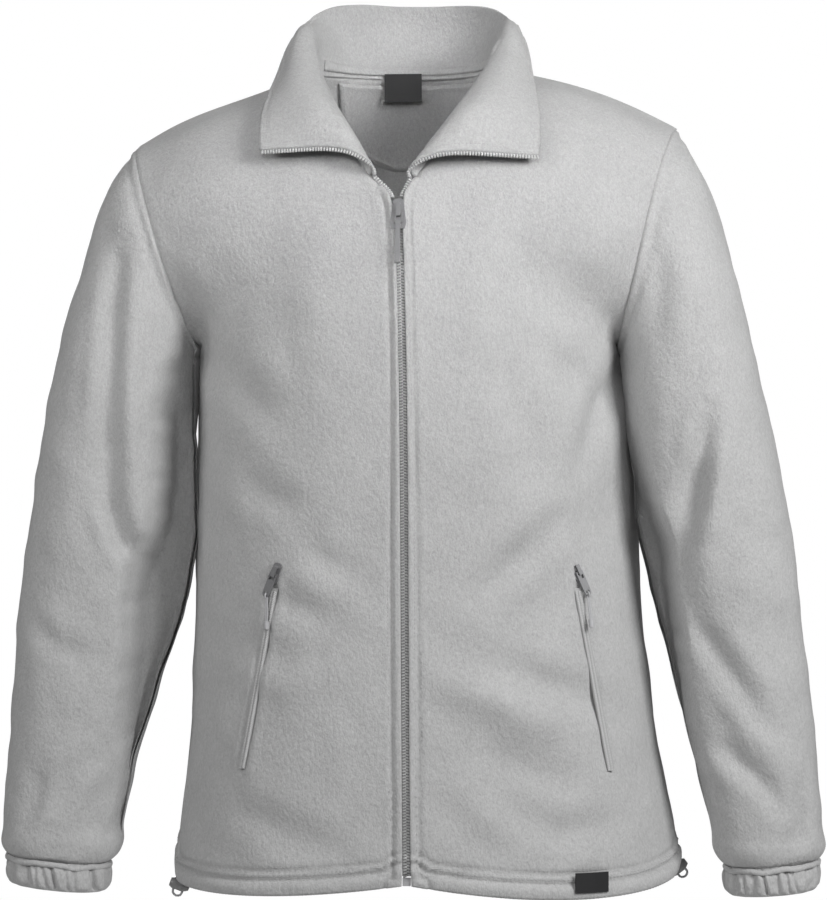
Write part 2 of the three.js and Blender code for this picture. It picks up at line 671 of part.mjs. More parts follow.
// Place on a layer of points where it lies at x and z, and the direction it faces
function placeOn(layer, x, z, facing) {
  for (let j = 0; j < layer.length - 1; j += 1) {
    for (let i = 0; i < layer[0].length - 1; i += 1) {
      const a = layer[j][i];
      const b = layer[j][i + 1];
      const c = layer[j + 1][i + 1];
      const d = layer[j + 1][i];
      for (const [p, q, r] of [[a, b, c], [a, c, d]]) {
        const area = (q.x - p.x) * (r.z - p.z) - (r.x - p.x) * (q.z - p.z);
        const u = ((x - p.x) * (r.z - p.z) - (r.x - p.x) * (z - p.z)) / area;
        const v = ((q.x - p.x) * (z - p.z) - (x - p.x) * (q.z - p.z)) / area;
        if (u >= 0 && v >= 0 && u + v <= 1) {
          const y = p.y + u * (q.y - p.y) + v * (r.y - p.y);
          const normal = q.clone().sub(p).cross(r.clone().sub(p)).normalize();
          if (normal.y * facing < 0) normal.negate();
          return { at: new THREE.Vector3(x, y, z), normal };
        }
      }
    }
  }
  throw new Error(`no cloth at ${x} ${z}`);
}

// Plate that lies on a layer, its points made from the layer's own
function plateOn(layer, facing, lift, thickness, rows) {
  const raise = (distance) => rows.map((row) => row.map(([x, z]) => {
    const { at, normal } = placeOn(layer, x, z, facing);
    return at.addScaledVector(normal, distance);
  }));
  return wallGeometry(raise(lift + thickness), raise(lift), false);
}

// Half-moon patch, label and tape inside the back of the neck
const PATCH = {
  centreX: -4.5, top: -2, halfWidth: 64, depth: 72, fullness: 3.2, rounding: 0.99,
  lift: 1.4, thick: 1, rows: 6, columns: 10,
};
const NECK_LABEL = { centreX: -12.5, top: 8, width: 33, height: 25, depth: 72.2, thick: 0.8, columns: 4 };
const TAPE = { from: 0.35, to: 1.05, lift: 0.6, thick: 0.8 };
const patchRows = [];
for (let j = 0; j <= PATCH.rows; j += 1) {
  const t = j / PATCH.rows;
  const half = PATCH.halfWidth * (1 - (PATCH.rounding * t) ** PATCH.fullness) ** (1 / PATCH.fullness);
  const row = [];
  for (let i = 0; i <= PATCH.columns; i += 1) {
    const s = (2 * i) / PATCH.columns - 1;
    row.push([PATCH.centreX + half * s, PATCH.top - PATCH.depth * t]);
  }
  patchRows.push(row);
}
addPiece(
  'back_neck_patch',
  plateOn(layers.back.inner, -1, PATCH.lift, PATCH.thick, patchRows),
  finish.fleece(),
);

function rectangleRows(centreX, top, width, height, columns, rows) {
  const grid = [];
  for (let j = 0; j <= rows; j += 1) {
    const row = [];
    for (let i = 0; i <= columns; i += 1) {
      row.push([centreX + width * (i / columns - 0.5), top - (height * j) / rows]);
    }
    grid.push(row);
  }
  return grid;
}
const tapeOf = (distance) => [TAPE.from, TAPE.to].map((level) => {
  const row = [];
  for (let i = neckPointColumn.right + 1; i < neckPointColumn.left; i += 1) {
    const low = layers.collar.inner[Math.floor(level)][i];
    const high = layers.collar.inner[Math.floor(level) + 1][i];
    const p = between(low, high, level - Math.floor(level));
    row.push(p.addScaledVector(foldedDirection(collarGrid[Math.round(level)][i]), -distance));
  }
  return row;
});
const tapeFace = tapeOf(TAPE.lift + TAPE.thick);
addPiece('neck_tape', wallGeometry(tapeFace, tapeOf(TAPE.lift), false), finish.tape());

// The label is caught at the tape and hangs straight down in front of it
const labelAt = (distance) => [0, 1].map((down) => {
  const row = [];
  for (let i = 0; i <= NECK_LABEL.columns; i += 1) {
    const x = NECK_LABEL.centreX + NECK_LABEL.width * (i / NECK_LABEL.columns - 0.5);
    row.push(new THREE.Vector3(x, NECK_LABEL.depth - distance, NECK_LABEL.top - NECK_LABEL.height * down));
  }
  return row;
});
addPiece('neck_label', wallGeometry(labelAt(NECK_LABEL.thick), labelAt(0), false), finish.label());

// Label on the hem of the wearer's left front
const HEM_LABEL = { centreX: 155, top: -673.5, width: 27, height: 16, lift: 0.5, thick: 1 };
addPiece('hem_label', plateOn(
  layers.front_left.outer, -1, HEM_LABEL.lift, HEM_LABEL.thick,
  rectangleRows(HEM_LABEL.centreX, HEM_LABEL.top, HEM_LABEL.width, HEM_LABEL.height, 4, 2),
), finish.label());

// Solids that are joined or cut
function asSolid(geometry) {
  let shape = geometry.clone();
  shape.deleteAttribute('normal');
  shape.deleteAttribute('uv');
  shape = mergeVertices(shape, 1e-4);
  const faces = Array.from(shape.index.array).reduce((kept, _, k, all) => {
    if (k % 3 === 0 && new Set(all.slice(k, k + 3)).size === 3) kept.push(...all.slice(k, k + 3));
    return kept;
  }, []);
  const vertices = Array.from(shape.attributes.position.array);
  const turned = signedVolume(vertices, faces) < 0 ? turnedRound(faces) : faces;
  return new wasm.Manifold(new wasm.Mesh({
    numProp: 3,
    vertProperties: new Float32Array(vertices),
    triVerts: new Uint32Array(turned),
  }));
}

function asGeometry(solid) {
  const mesh = solid.getMesh();
  const geometry = new THREE.BufferGeometry();
  geometry.setAttribute('position', new THREE.BufferAttribute(mesh.vertProperties, 3));
  geometry.setIndex(new THREE.BufferAttribute(mesh.triVerts, 1));
  return geometry;
}
const joined = (...geometries) => asGeometry(geometries.map(asSolid).reduce((a, b) => a.add(b)));

// Box between two corners
function boxFrom(low, high) {
  const size = high.map((v, k) => v - low[k]);
  const geometry = new THREE.BoxGeometry(...size);
  return geometry.translate(...low.map((v, k) => v + size[k] / 2));
}

// Flat outline standing in X and Z, thick from y = near to y = far
function standingPlate(shape, near, far) {
  const options = { depth: far - near, bevelEnabled: false, curveSegments: 8 };
  const geometry = new THREE.ExtrudeGeometry(shape, options);
  return geometry.rotateX(Math.PI / 2).translate(0, far, 0);
}

// Frame on the cloth: x across, y into the cloth, z up along the piece
function frameOn(at, outward, up) {
  const inward = outward.clone().negate().normalize();
  const across = inward.clone().cross(up).normalize();
  const upright = across.clone().cross(inward);
  return new THREE.Matrix4().makeBasis(across, inward, upright).setPosition(at);
}

// Closed chain of the front zip, between the two fronts
const edgeDepth = (z) => {
  const t = THREE.MathUtils.clamp((z - HEM.front) / (ZIP.sliderZ - HEM.front), 0, 1) * ZIP_ROWS;
  const row = Math.min(Math.floor(t), ZIP_ROWS - 1);
  const edge = layers.front_left.outer;
  return mix(edge[row][0].y, edge[row + 1][0].y, t - row);
};
const chainEnds = { bottom: HEM.front + ZIP.foot, top: ZIP.sliderZ - ZIP.head };
function chainLayer(depth) {
  const heights = [chainEnds.bottom];
  for (let j = 1; j < ZIP_ROWS; j += 1) heights.push(mix(HEM.front, ZIP.sliderZ, j / ZIP_ROWS));
  heights.push(chainEnds.top);
  return heights.map((z) => [-1, 1].map((way) => (
    new THREE.Vector3(zipX(z) + (way * ZIP.chainWidth) / 2, edgeDepth(z) + depth, z)
  )));
}
addPiece(
  'zip_chain',
  wallGeometry(chainLayer(ZIP.recess), chainLayer(ZIP.recess + ZIP.chainThick), false),
  finish.plastic(),
);

// Box that holds the bottom ends of the zip
const BOX = { height: 6.5, proud: 0.8, thick: 4 };
const boxTop = chainEnds.bottom - SEAM_GAP;
const boxMiddle = zipX(boxTop);
addPiece('zip_box', boxFrom(
  [boxMiddle - ZIP.chainWidth / 2, edgeDepth(boxTop) - BOX.proud, boxTop - BOX.height],
  [boxMiddle + ZIP.chainWidth / 2, edgeDepth(boxTop) - BOX.proud + BOX.thick, boxTop],
), finish.plastic());

// Open halves of the zip: a strip of teeth along each front's edge and the collar's end
const TEETH = { width: 3.8, thick: 2.2, gap: 0.7 };
for (const side of ['right', 'left']) {
  const front = layers[`front_${side}`];
  const end = side === 'left' ? collarGrid[0].length - 1 : 0;
  const beside = side === 'left' ? end - 1 : 1;
  const stops = [];
  for (const j of [ZIP_ROWS, ZIP_ROWS + 1, ZIP_ROWS + 2]) {
    stops.push({ face: front.outer[j][0], back: front.inner[j][0], next: front.outer[j][1] });
  }
  for (let j = 1; j <= COLLAR_ROWS; j += 1) {
    const { outer, inner } = layers.collar;
    stops.push({ face: outer[j][end], back: inner[j][end], next: outer[j][beside] });
  }
  const layerAt = (lift) => stops.map(({ face, back, next }) => {
    const through = face.clone().sub(back).normalize();
    const away = face.clone().sub(next).normalize();
    const middle = between(face, back, 0.5).addScaledVector(through, lift);
    return [TEETH.gap, TEETH.gap + TEETH.width].map((reach) => middle.clone().addScaledVector(away, reach));
  });
  addPiece(
    `zip_teeth_${side}`,
    wallGeometry(layerAt(TEETH.thick / 2), layerAt(-TEETH.thick / 2), false),
    finish.plastic(),
  );
}

// Sliders: a plate over the zip with a bridge, under which the bar of the pull tab turns
const SLIDERS = {
  zip: { topWidth: 8, bottomWidth: 13.6, up: 12, down: 13, plate: 2.2, bridge: 12, lift: 0.5 },
  pocket: { topWidth: 6.5, bottomWidth: 9, up: 8, down: 8, plate: 2, bridge: 9, lift: 1.35 },
};
const SLIDER_FORM = { crown: 2, waist: 0.6, tail: 0.42 };
const BRIDGE = { width: 3.4, tunnel: 2.2, roof: 1.3, leg: 1.4, foot: -3, bite: 0.1 };
const TAB = { thick: 1.4, bar: 1.4, windowWidth: 4.4, windowHeight: 5, rim: 1.2, shoulder: 2.5 };
const barHeight = BRIDGE.foot + BRIDGE.leg + SEAM_GAP + TAB.bar / 2;
const barDepth = (size) => -(size.lift + size.plate + BRIDGE.tunnel / 2);

function sliderGeometry(size) {
  const outline = new THREE.Shape();
  outline.moveTo(-size.topWidth / 2, size.up);
  outline.lineTo(-size.bottomWidth / 2, -size.down * SLIDER_FORM.waist);
  outline.lineTo(-size.bottomWidth * SLIDER_FORM.tail, -size.down);
  outline.lineTo(size.bottomWidth * SLIDER_FORM.tail, -size.down);
  outline.lineTo(size.bottomWidth / 2, -size.down * SLIDER_FORM.waist);
  outline.lineTo(size.topWidth / 2, size.up);
  outline.quadraticCurveTo(0, size.up + SLIDER_FORM.crown, -size.topWidth / 2, size.up);
  const face = -size.lift - size.plate;
  const roof = face - BRIDGE.tunnel;
  const half = BRIDGE.width / 2;
  const top = BRIDGE.foot + size.bridge;
  return joined(
    standingPlate(outline, face, -size.lift),
    boxFrom([-half, roof - BRIDGE.roof, BRIDGE.foot], [half, roof, top]),
    boxFrom([-half, roof - BRIDGE.bite, BRIDGE.foot], [half, face + BRIDGE.bite, BRIDGE.foot + BRIDGE.leg]),
    boxFrom([-half, roof - BRIDGE.bite, top - BRIDGE.leg], [half, face + BRIDGE.bite, top]),
  );
}

// Pull tab outline: a window round the bridge, a strap, and for the pockets a round eye
function tabGeometry(size, strap, eye) {
  const half = TAB.windowWidth / 2 + TAB.rim;
  const windowTop = barHeight - TAB.bar / 2;
  const windowLow = windowTop - TAB.windowHeight;
  const shape = new THREE.Shape();
  shape.moveTo(-half, barHeight + TAB.bar / 2);
  shape.lineTo(-half, windowLow - TAB.rim);
  const endHeight = windowLow - strap.length;
  if (eye) {
    shape.lineTo(-eye.outer, endHeight);
    shape.absarc(0, endHeight, eye.outer, Math.PI, 2 * Math.PI, false);
  } else {
    shape.lineTo(-strap.width / 2, windowLow - TAB.shoulder);
    shape.lineTo(-strap.width / 2, endHeight);
    shape.lineTo(strap.width / 2, endHeight);
    shape.lineTo(strap.width / 2, windowLow - TAB.shoulder);
  }
  shape.lineTo(half, windowLow - TAB.rim);
  shape.lineTo(half, barHeight + TAB.bar / 2);
  const window = new THREE.Path();
  window.moveTo(-TAB.windowWidth / 2, windowTop);
  window.lineTo(TAB.windowWidth / 2, windowTop);
  window.lineTo(TAB.windowWidth / 2, windowLow);
  window.lineTo(-TAB.windowWidth / 2, windowLow);
  shape.holes.push(window);
  if (eye) shape.holes.push(new THREE.Path().absarc(0, endHeight, eye.hole, 0, 2 * Math.PI, true));
  const middle = barDepth(size);
  return standingPlate(shape, middle - TAB.thick / 2, middle + TAB.thick / 2);
}

// Front zip's slider and tab, which lie along the zip line at the chest
const STRAP = { width: 4.2, length: 36 };
const SLIDER_SEAT = { below: 14.5, above: 12, under: 30 };
const sliderAt = ZIP.sliderZ - SLIDER_SEAT.below;
const zipRise = edgeDepth(sliderAt + SLIDER_SEAT.above) - edgeDepth(sliderAt - SLIDER_SEAT.under);
const zipRun = new THREE.Vector3(0, zipRise, SLIDER_SEAT.above + SLIDER_SEAT.under).normalize();
const zipOut = new THREE.Vector3(0, -zipRun.z, zipRun.y);
const zipFrame = frameOn(new THREE.Vector3(zipX(sliderAt), edgeDepth(sliderAt), sliderAt), zipOut, zipRun);
addPiece('zip_slider', sliderGeometry(SLIDERS.zip).applyMatrix4(zipFrame), finish.metal());
addPiece('zip_pull_tab', tabGeometry(SLIDERS.zip, STRAP, null).applyMatrix4(zipFrame), finish.metal());

// Pockets: a closed zip on each front, its slider at the top and a cord through the tab's eye
const POCKETS = {
  right: { top: [-106, -430], bottom: [-134.5, -591], slider: [-104.5, -427], tilt: -25 },
  left: { top: [143, -430], bottom: [171, -592], slider: [142.2, -427], tilt: 25 },
};
const POCKET_ZIP = { width: 6, lift: 0.6, thick: 0.8, rows: 18, headroom: 9 };
const POCKET_STRAP = { width: 5, length: 12 };
const EYE = { outer: 3.2, hole: 1.8 };
const CORD = {
  loop: 2.1, radius: 0.7, strands: 20, apart: 0.9, lap: 0.3,
  stopRadius: 2.3, stopTaper: 0.9, stopLength: 6.5, stopLap: 1,
};
for (const [side, pocket] of Object.entries(POCKETS)) {
  const layer = layers[`front_${side}`].outer;
  const rows = [];
  for (let j = 0; j <= POCKET_ZIP.rows; j += 1) {
    const t = j / POCKET_ZIP.rows;
    const x = mix(pocket.top[0], pocket.bottom[0], t);
    const z = mix(pocket.top[1] - POCKET_ZIP.headroom, pocket.bottom[1], t);
    rows.push([[x - POCKET_ZIP.width / 2, z], [x + POCKET_ZIP.width / 2, z]]);
  }
  addPiece(`pocket_zip_${side}`, plateOn(layer, -1, POCKET_ZIP.lift, POCKET_ZIP.thick, rows), finish.tape());
  const seat = placeOn(layer, pocket.slider[0], pocket.slider[1], -1);
  const lean = THREE.MathUtils.degToRad(pocket.tilt);
  const up = new THREE.Vector3(-Math.sin(lean), 0, Math.cos(lean));
  const frame = frameOn(seat.at, seat.normal, up);
  const size = SLIDERS.pocket;
  addPiece(`pocket_slider_${side}`, sliderGeometry(size).applyMatrix4(frame), finish.metal());
  addPiece(`pocket_tab_${side}`, tabGeometry(size, POCKET_STRAP, EYE).applyMatrix4(frame), finish.metal());
  const eyeHeight = barHeight - TAB.bar / 2 - TAB.windowHeight - POCKET_STRAP.length;
  const eye = new THREE.Vector3(0, barDepth(size), eyeHeight).applyMatrix4(frame);
  const low = -CORD.loop * 2;
  const strand = (x) => new THREE.CylinderGeometry(CORD.radius, CORD.radius, CORD.strands, 8)
    .rotateX(Math.PI / 2).translate(x, 0, low - CORD.strands / 2 + CORD.lap);
  const cord = joined(
    new THREE.TorusGeometry(CORD.loop, CORD.radius, 8, 14).rotateY(Math.PI / 2).translate(0, 0, -CORD.loop),
    strand(-CORD.radius * CORD.apart),
    strand(CORD.radius * CORD.apart),
    new THREE.CylinderGeometry(CORD.stopRadius, CORD.stopRadius * CORD.stopTaper, CORD.stopLength, 14)
      .rotateX(Math.PI / 2).translate(0, 0, low - CORD.strands - CORD.stopLength / 2 + CORD.stopLap),
  );
  const hanging = frameOn(eye, seat.normal, new THREE.Vector3(0, 0, 1));
  addPiece(`pocket_cord_${side}`, cord.applyMatrix4(hanging), finish.plastic());
}

// Cord locks below the side seams, each with the end of the hem's elastic cord looped under it
const LOCKS = {
  right: { at: [-201, -1, -701.5], tilt: 20, rise: 9.1 },
  left: { at: [229.6, 41, -688], tilt: -38, rise: 6.2 },
};
const LOCK = { length: 17, radius: 5.4, neck: 4, foot: 3, shoulder: 5, top: 2, cap: 0.7 };
const HEM_CORD = { radius: 1, hole: 1.4, drop: 4.5, halfSpan: 4, bend: 0.9, bendDrop: 0.6 };
for (const [side, lock] of Object.entries(LOCKS)) {
  const half = LOCK.length / 2;
  const profile = [
    [0, -half], [LOCK.neck, -half], [LOCK.radius, -half + LOCK.foot], [LOCK.radius, half - LOCK.shoulder],
    [LOCK.neck, half - LOCK.top], [LOCK.neck * LOCK.cap, half], [0, half],
  ].map(([r, y]) => new THREE.Vector2(r, y));
  const turn = THREE.MathUtils.degToRad(lock.tilt);
  const span = HEM_CORD.halfSpan;
  const hole = (x) => asSolid(new THREE.CylinderGeometry(HEM_CORD.hole, HEM_CORD.hole, LOCK.radius * 4, 12)
    .rotateX(Math.PI / 2).translate(x, 0, 0));
  const barrel = asSolid(new THREE.LatheGeometry(profile, 16).rotateZ(-Math.PI / 2));
  const drilled = asGeometry(barrel.subtract(hole(-span)).subtract(hole(span)));
  addPiece(`cord_lock_${side}`, drilled.rotateY(turn).translate(...lock.at), finish.toggle());
  const below = -LOCK.radius - SEAM_GAP;
  const falling = [[span, lock.rise], [span, lock.rise / 2], [span, 0], [span, below]];
  const rounding = [
    [span * HEM_CORD.bend, below - HEM_CORD.drop * HEM_CORD.bendDrop],
    [0, below - HEM_CORD.drop],
  ];
  const route = new THREE.CatmullRomCurve3([
    ...falling.concat(rounding).map(([x, z]) => new THREE.Vector3(x, 0, z)),
    ...falling.concat(rounding.slice(0, 1)).reverse().map(([x, z]) => new THREE.Vector3(-x, 0, z)),
  ]);
  const section = new THREE.Shape().absarc(0, 0, HEM_CORD.radius, 0, 2 * Math.PI);
  const loop = new THREE.ExtrudeGeometry(section, { steps: 22, curveSegments: 4, extrudePath: route });
  loop.rotateY(turn).translate(...lock.at);
  addPiece(`hem_cord_${side}`, asGeometry(asSolid(loop)), finish.plastic());
}

export default jacket;
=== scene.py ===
import json
import math

import bmesh
import bpy
import numpy as np
from mathutils import Matrix, Vector
from mathutils import noise as cloth_noise
from mathutils.bvhtree import BVHTree
from mathutils.kdtree import KDTree


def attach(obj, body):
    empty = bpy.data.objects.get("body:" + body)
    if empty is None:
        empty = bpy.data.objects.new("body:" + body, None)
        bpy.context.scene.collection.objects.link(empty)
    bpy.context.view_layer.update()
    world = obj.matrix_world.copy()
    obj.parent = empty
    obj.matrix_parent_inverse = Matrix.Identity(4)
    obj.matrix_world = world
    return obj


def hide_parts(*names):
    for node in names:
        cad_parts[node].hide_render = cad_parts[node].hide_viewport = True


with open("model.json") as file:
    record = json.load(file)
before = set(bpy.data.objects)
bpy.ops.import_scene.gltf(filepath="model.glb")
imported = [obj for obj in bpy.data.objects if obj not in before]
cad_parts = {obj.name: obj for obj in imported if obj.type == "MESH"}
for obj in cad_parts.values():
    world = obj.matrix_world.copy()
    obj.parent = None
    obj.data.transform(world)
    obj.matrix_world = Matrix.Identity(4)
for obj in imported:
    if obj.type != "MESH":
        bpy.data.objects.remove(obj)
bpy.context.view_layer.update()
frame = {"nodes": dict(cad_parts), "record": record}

MM = 0.001

# Camera at chest height, a touch to the wearer's left, far enough back for a long portrait lens,
# as the garment is photographed.
CAMERA_DISTANCE = 2.4
CAMERA_HEIGHT = -0.3255
CAMERA_TURN = math.radians(4)
CAMERA_SIDESTEP = 0.0017
view_camera = bpy.data.cameras.new("camera")
view_camera.sensor_fit = "VERTICAL"
view_camera.sensor_height = 36
view_camera.sensor_width = 36
view_camera.lens = 111.5
camera = bpy.data.objects.new("camera", view_camera)
camera.location = (
    CAMERA_SIDESTEP + CAMERA_DISTANCE * math.sin(CAMERA_TURN),
    -CAMERA_DISTANCE * math.cos(CAMERA_TURN),
    CAMERA_HEIGHT,
)
camera.rotation_euler = (math.radians(90), 0, CAMERA_TURN)
bpy.context.scene.collection.objects.link(camera)
bpy.context.scene.camera = camera

# Studio: a pale floor at the feet of the missing wearer, a strong soft light well round on the
# wearer's left, a weaker one on the right, and faint ones in front and overhead.
FLOOR_HEIGHT = -1.42
STUDIO_LIGHTS = [
    {"name": "key", "at": (1.3, -1.15, 0.45), "aim": (0, 0, -0.3), "size": 0.7, "watts": 34, "spread": 180},
    {"name": "fill", "at": (-1.3, -1.15, 0.35), "aim": (0, 0, -0.3), "size": 0.7, "watts": 12, "spread": 180},
    {"name": "front", "at": (0.0, -2.0, 0.4), "aim": (0, 0, -0.3), "size": 0.7, "watts": 9, "spread": 180},
    {"name": "neck", "at": (0.1, -1.9, 0.3), "aim": (0, 0, -0.05), "size": 0.3, "watts": 0.15, "spread": 24},
    {"name": "overhead", "at": (0.2, -0.5, 1.6), "aim": (0, 0, -0.3), "size": 1.0, "watts": 2, "spread": 180},
    {"name": "behind", "at": (-0.5, 2.2, 0.4), "aim": (0, 0, -0.3), "size": 0.9, "watts": 24, "spread": 180},
]
for lamp in STUDIO_LIGHTS:
    light = bpy.data.lights.new(lamp["name"], "AREA")
    light.size = lamp["size"]
    light.energy = lamp["watts"]
    light.spread = math.radians(lamp["spread"])
    holder = bpy.data.objects.new(lamp["name"], light)
    holder.location = lamp["at"]
    toward = Vector(lamp["aim"]) - holder.location
    holder.rotation_euler = toward.to_track_quat("-Z", "Y").to_euler()
    bpy.context.scene.collection.objects.link(holder)

floor_mesh = bmesh.new()
bmesh.ops.create_circle(floor_mesh, cap_ends=True, segments=96, radius=2.6)
bmesh.ops.translate(floor_mesh, vec=(0, 0, FLOOR_HEIGHT), verts=floor_mesh.verts)
floor_data = bpy.data.meshes.new("studio_floor")
floor_mesh.to_mesh(floor_data)
floor_mesh.free()
floor = bpy.data.objects.new("studio_floor", floor_data)
bpy.context.scene.collection.objects.link(floor)
floor_paint = bpy.data.materials.new("studio_floor")
floor_paint.use_nodes = True
floor_paint.node_tree.nodes["Principled BSDF"].inputs["Base Color"].default_value = (0.8, 0.8, 0.8, 1)
floor_data.materials.append(floor_paint)

# White surroundings: full white behind the garment, and a dimmer glow on the cloth itself
backdrop = bpy.data.worlds.new("studio")
backdrop.use_nodes = True
bpy.context.scene.world = backdrop
sky = backdrop.node_tree
seen_white = sky.nodes["Background"]
seen_white.inputs["Color"].default_value = (1, 1, 1, 1)
seen_white.inputs["Strength"].default_value = 1.0
soft_glow = sky.nodes.new("ShaderNodeBackground")
soft_glow.inputs["Color"].default_value = (1, 1, 1, 1)
soft_glow.inputs["Strength"].default_value = 0.05
ray_kind = sky.nodes.new("ShaderNodeLightPath")
chooser = sky.nodes.new("ShaderNodeMixShader")
sky.links.new(ray_kind.outputs["Is Camera Ray"], chooser.inputs[0])
sky.links.new(soft_glow.outputs[0], chooser.inputs[1])
sky.links.new(seen_white.outputs[0], chooser.inputs[2])
sky.links.new(chooser.outputs[0], sky.nodes["World Output"].inputs[0])
bpy.context.scene.view_settings.view_transform = "Standard"

# Fleece cloth: brushed polyester, mid grey, with a short uneven pile that catches light at its tips.
# The pile is a bump of clumps and fine fibres. Its colour follows that bump: it is painted lighter on the
# raised tips as a painted highlight and darker between them as painted shade. The colour also drifts a little
# where it is brushed.
FLEECE_GREY = 0.40
BUMP_REACH = {"clump": 0.0016, "fibre": 0.0008}
PILE = {"clump": 330, "clump_rise": 0.6, "fibre": 900, "fibre_rise": 0.4, "drift": 26}


def fleece_material(name, grey):
    made = bpy.data.materials.new(name)
    made.use_nodes = True
    tree = made.node_tree
    nodes, link = tree.nodes, tree.links.new
    surface = nodes["Principled BSDF"]
    surface.inputs["Roughness"].default_value = 0.92
    surface.inputs["Specular IOR Level"].default_value = 0.15
    surface.inputs["Sheen Weight"].default_value = 0.12
    surface.inputs["Sheen Roughness"].default_value = 0.5
    place = nodes.new("ShaderNodeTexCoord")

    def pattern(scale, detail, stretch=(1, 1, 1)):
        turn = nodes.new("ShaderNodeMapping")
        turn.inputs["Scale"].default_value = stretch
        link(place.outputs["Object"], turn.inputs["Vector"])
        tex = nodes.new("ShaderNodeTexNoise")
        tex.inputs["Scale"].default_value = scale
        tex.inputs["Detail"].default_value = detail
        link(turn.outputs["Vector"], tex.inputs["Vector"])
        return tex

    clump = pattern(PILE["clump"], 3, (1, 1, 0.7))
    fibre = pattern(PILE["fibre"], 2, (1, 1, 0.6))
    drift = pattern(PILE["drift"], 4)
    low = nodes.new("ShaderNodeBump")
    low.inputs["Strength"].default_value = PILE["clump_rise"]
    low.inputs["Distance"].default_value = BUMP_REACH["clump"]
    link(clump.outputs["Fac"], low.inputs["Height"])
    fine = nodes.new("ShaderNodeBump")
    fine.inputs["Strength"].default_value = PILE["fibre_rise"]
    fine.inputs["Distance"].default_value = BUMP_REACH["fibre"]
    link(fibre.outputs["Fac"], fine.inputs["Height"])
    link(low.outputs["Normal"], fine.inputs["Normal"])
    link(fine.outputs["Normal"], surface.inputs["Normal"])

    def tone(source, low_tone, high_tone):
        ramp = nodes.new("ShaderNodeValToRGB")
        ramp.color_ramp.elements[0].position = 0.3
        ramp.color_ramp.elements[1].position = 0.7
        ramp.color_ramp.elements[0].color = (low_tone, low_tone, low_tone, 1)
        ramp.color_ramp.elements[1].color = (high_tone, high_tone, high_tone, 1)
        link(source.outputs["Fac"], ramp.inputs["Fac"])
        return ramp

    def multiply(first, second):
        mix = nodes.new("ShaderNodeMix")
        mix.data_type = "RGBA"
        mix.blend_type = "MULTIPLY"
        mix.inputs["Factor"].default_value = 1.0
        link(first, mix.inputs["A"])
        link(second, mix.inputs["B"])
        return mix.outputs["Result"]

    drifted = tone(drift, grey * 0.97, grey * 1.03)
    # Painted highlight and painted shade: the colour is lighter where the clump and fibre bumps rise and
    # darker where they fall
    pile_tips_painted_lighter = tone(clump, 0.93, 1.05)
    fibre_tips_painted_lighter = tone(fibre, 0.9, 1.08)
    colour = multiply(multiply(drifted.outputs["Color"], pile_tips_painted_lighter.outputs["Color"]), fibre_tips_painted_lighter.outputs["Color"])
    link(colour, surface.inputs["Base Color"])
    return made


body_fleece = fleece_material("body_fleece", FLEECE_GREY)


# A panel starts as its node's wall: triangles paired back into the panel's grid, seam edges kept
# sharp and lapped a little over the neighbour's, then divided to a cell of a few millimetres so that
# creases and stitched edges can be pressed in.
SEAM_ANGLE = math.radians(58)
SEAM_LAP = 0.0008


def wall_of(node):
    wall = bmesh.new()
    wall.from_mesh(frame["nodes"][node].data)
    bmesh.ops.remove_doubles(wall, verts=wall.verts, dist=0.00002)
    bmesh.ops.join_triangles(
        wall, faces=wall.faces, angle_face_threshold=math.radians(50), angle_shape_threshold=math.radians(60),
    )
    sharp = wall.edges.layers.float.new("crease_edge")
    for edge in wall.edges:
        if len(edge.link_faces) == 2 and edge.calc_face_angle() > SEAM_ANGLE:
            edge[sharp] = 1.0
    rim = {vert for edge in wall.edges if edge[sharp] > 0.5 for vert in edge.verts}
    return wall, rim


def inward_from(vert, rim):
    inner = [edge.other_vert(vert).co for edge in vert.link_edges if edge.other_vert(vert) not in rim]
    if not inner:
        return Vector()
    return (sum(inner, Vector()) / len(inner) - vert.co).normalized()


def panel_from(node, name, divisions, lap=SEAM_LAP):
    wall, rim = wall_of(node)
    lapped = {vert: vert.co - inward_from(vert, rim) * lap for vert in rim}
    for vert, place in lapped.items():
        vert.co = place
    data = bpy.data.meshes.new(name)
    wall.to_mesh(data)
    wall.free()
    rough = bpy.data.objects.new(name + "_rough", data)
    bpy.context.scene.collection.objects.link(rough)
    divide = rough.modifiers.new("divide", "SUBSURF")
    divide.levels = divisions
    divide.render_levels = divisions
    fine = bpy.data.meshes.new_from_object(rough.evaluated_get(bpy.context.evaluated_depsgraph_get()))
    bpy.data.objects.remove(rough)
    fine.name = name
    panel = bpy.data.objects.new(name, fine)
    bpy.context.scene.collection.objects.link(panel)
    fine.shade_smooth()
    return panel


def finer(panel, close, cuts):
    """Divides a panel's edges again where both ends are marked close."""
    work = bmesh.new()
    work.from_mesh(panel.data)
    marked = [edge for edge in work.edges if all(close[vert.index] for vert in edge.verts)]
    bmesh.ops.subdivide_edges(work, edges=marked, cuts=cuts, use_grid_fill=True)
    work.to_mesh(panel.data)
    work.free()
    panel.data.shade_smooth()


